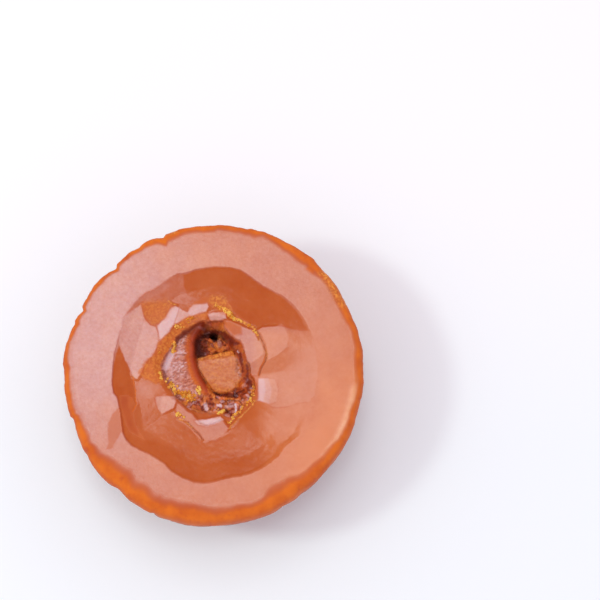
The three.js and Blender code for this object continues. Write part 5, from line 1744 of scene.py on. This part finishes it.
@dataclass
class Studio:
    """Pale floor, round soft lights above it, and the camera looking down on the set face."""

    face_height: float = 48.0
    distance: float = 741.0
    lens: float = 135.0
    sensor: float = 36.0
    frame_size: int = 600
    block_at: Point = (212.7, 370.8)
    tilt: float = 12.0
    lamps: tuple[Lamp, ...] = (
        Lamp("soft_box", (-70.0, 255.0, 1248.0), 0.41, 2.9, (1.0, 0.99, 1.0)),
        Lamp("key", (-730.0, -107.0, 1120.0), 0.18, 36.0, (0.86, 1.0, 0.95), False),
        Lamp("side_box", (-730.0, -107.0, 1120.0), 0.55, 1.5, (0.95, 1.0, 0.98)),
        Lamp("overhead", (30.0, -50.0, 1350.0), 0.28, 11.0, (0.90, 1.0, 1.0), False),
    )
    sky: float = 0.74
    sky_colour: Colour = (0.985, 0.885, 0.98, 1.0)
    floor_near: Colour = (0.92, 0.97, 0.98, 1.0)
    floor_far: Colour = (0.995, 0.995, 0.998, 1.0)
    floor_span: Point = (-0.015, 0.10)
    floor_reach: float = 6.0
    nearest: float = 0.01

    def build(self) -> None:
        """Make the floor, lights and camera."""
        self._floor()
        self._camera()
        for lamp in self.lamps:
            self._light(lamp)
        self._sky()
        bpy.context.scene.view_settings.view_transform = "Standard"

    def _floor(self) -> None:
        """A large pale sheet under the block."""
        mesh = bpy.data.meshes.new("floor")
        reach = self.floor_reach
        corners = [(-reach, -reach, 0), (reach, -reach, 0), (reach, reach, 0), (-reach, reach, 0)]
        mesh.from_pydata(corners, [], [(0, 1, 2, 3)])
        floor = bpy.data.objects.new("floor", mesh)
        bpy.context.collection.objects.link(floor)
        material = bpy.data.materials.new("floor_paper")
        nodes = Nodes(material)
        shader = nodes.surface()
        axes = nodes.add("ShaderNodeSeparateXYZ")
        nodes.link(nodes.add("ShaderNodeTexCoord").outputs["Object"], axes.inputs[0])
        ramp = nodes.remap(axes.outputs["Y"], *self.floor_span)
        nodes.link(nodes.blend(ramp, self.floor_near, self.floor_far), shader.inputs["Base Color"])
        shader.inputs["Roughness"].default_value = 0.9
        shader.inputs["Specular IOR Level"].default_value = 0.2
        mesh.materials.append(material)

    def _camera(self) -> None:
        """Camera off the face's normal by the tilt, with the block at its place in the frame."""
        pixel = self.sensor / self.frame_size * self.distance / self.lens
        across = (self.block_at[0] - self.frame_size / 2) * pixel
        down = (self.block_at[1] - self.frame_size / 2) * pixel
        axis = math.radians(self.tilt) + math.atan(down / self.distance)
        right = Vector((1.0, 0.0, 0.0))
        up = Vector((0.0, math.cos(axis), math.sin(axis)))
        back = Vector((0.0, -math.sin(axis), math.cos(axis)))
        target = Vector((0.0, 0.0, self.face_height))
        place = target - right * across + up * down + back * self.distance
        data = bpy.data.cameras.new("camera")
        data.lens = self.lens
        data.sensor_width = self.sensor
        data.clip_start = self.nearest
        camera = bpy.data.objects.new("camera", data)
        facing = Matrix((right, up, back)).transposed().to_4x4()
        camera.matrix_world = Matrix.Translation(place * MM) @ facing
        bpy.context.collection.objects.link(camera)
        bpy.context.scene.camera = camera

    def _light(self, lamp: Lamp) -> None:
        """Add one soft light, turned to the block."""
        data = bpy.data.lights.new(lamp.name, "AREA")
        data.shape = "DISK"
        data.size = lamp.size
        data.energy = lamp.radiance * (math.pi * lamp.size / 2) ** 2
        data.color = lamp.colour
        light = bpy.data.objects.new(lamp.name, data)
        place = Vector(lamp.place)
        light.location = place * MM
        light.visible_glossy = lamp.glints
        light.rotation_mode = "QUATERNION"
        light.rotation_quaternion = (Vector((0.0, 0.0, self.face_height)) - place).to_track_quat("-Z", "Y")
        bpy.context.collection.objects.link(light)

    def _sky(self) -> None:
        """Even soft fill from all round, which leaves no sheen of its own."""
        world = bpy.data.worlds.new("studio")
        bpy.context.scene.world = world
        world.cycles_visibility.glossy = False
        world.use_nodes = True
        background = world.node_tree.nodes["Background"]
        background.inputs["Color"].default_value = self.sky_colour
        background.inputs["Strength"].default_value = self.sky


def triangles(piece: bpy.types.Object) -> int:
    """How many triangles a piece's mesh makes."""
    return sum(len(face.vertices) - 2 for face in piece.data.polygons)


def main() -> None:
    """Build the studio and the block, and report each piece."""
    logging.basicConfig(level=logging.INFO, format="%(name)s: %(message)s")
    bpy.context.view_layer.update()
    Studio().build()
    skin = BlockSkin().build()
    skin.data.materials.append(JaggeryFinish().material())
    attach(skin, "root")
    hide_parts("jaggery_block")
    crumbs = Crumbs().build(skin, CrumbFinish().material())
    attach(crumbs, "root")
    for piece in (skin, crumbs):
        LOG.info("%s: %d triangles", piece.name, triangles(piece))


if __name__ == "__main__":
    main()
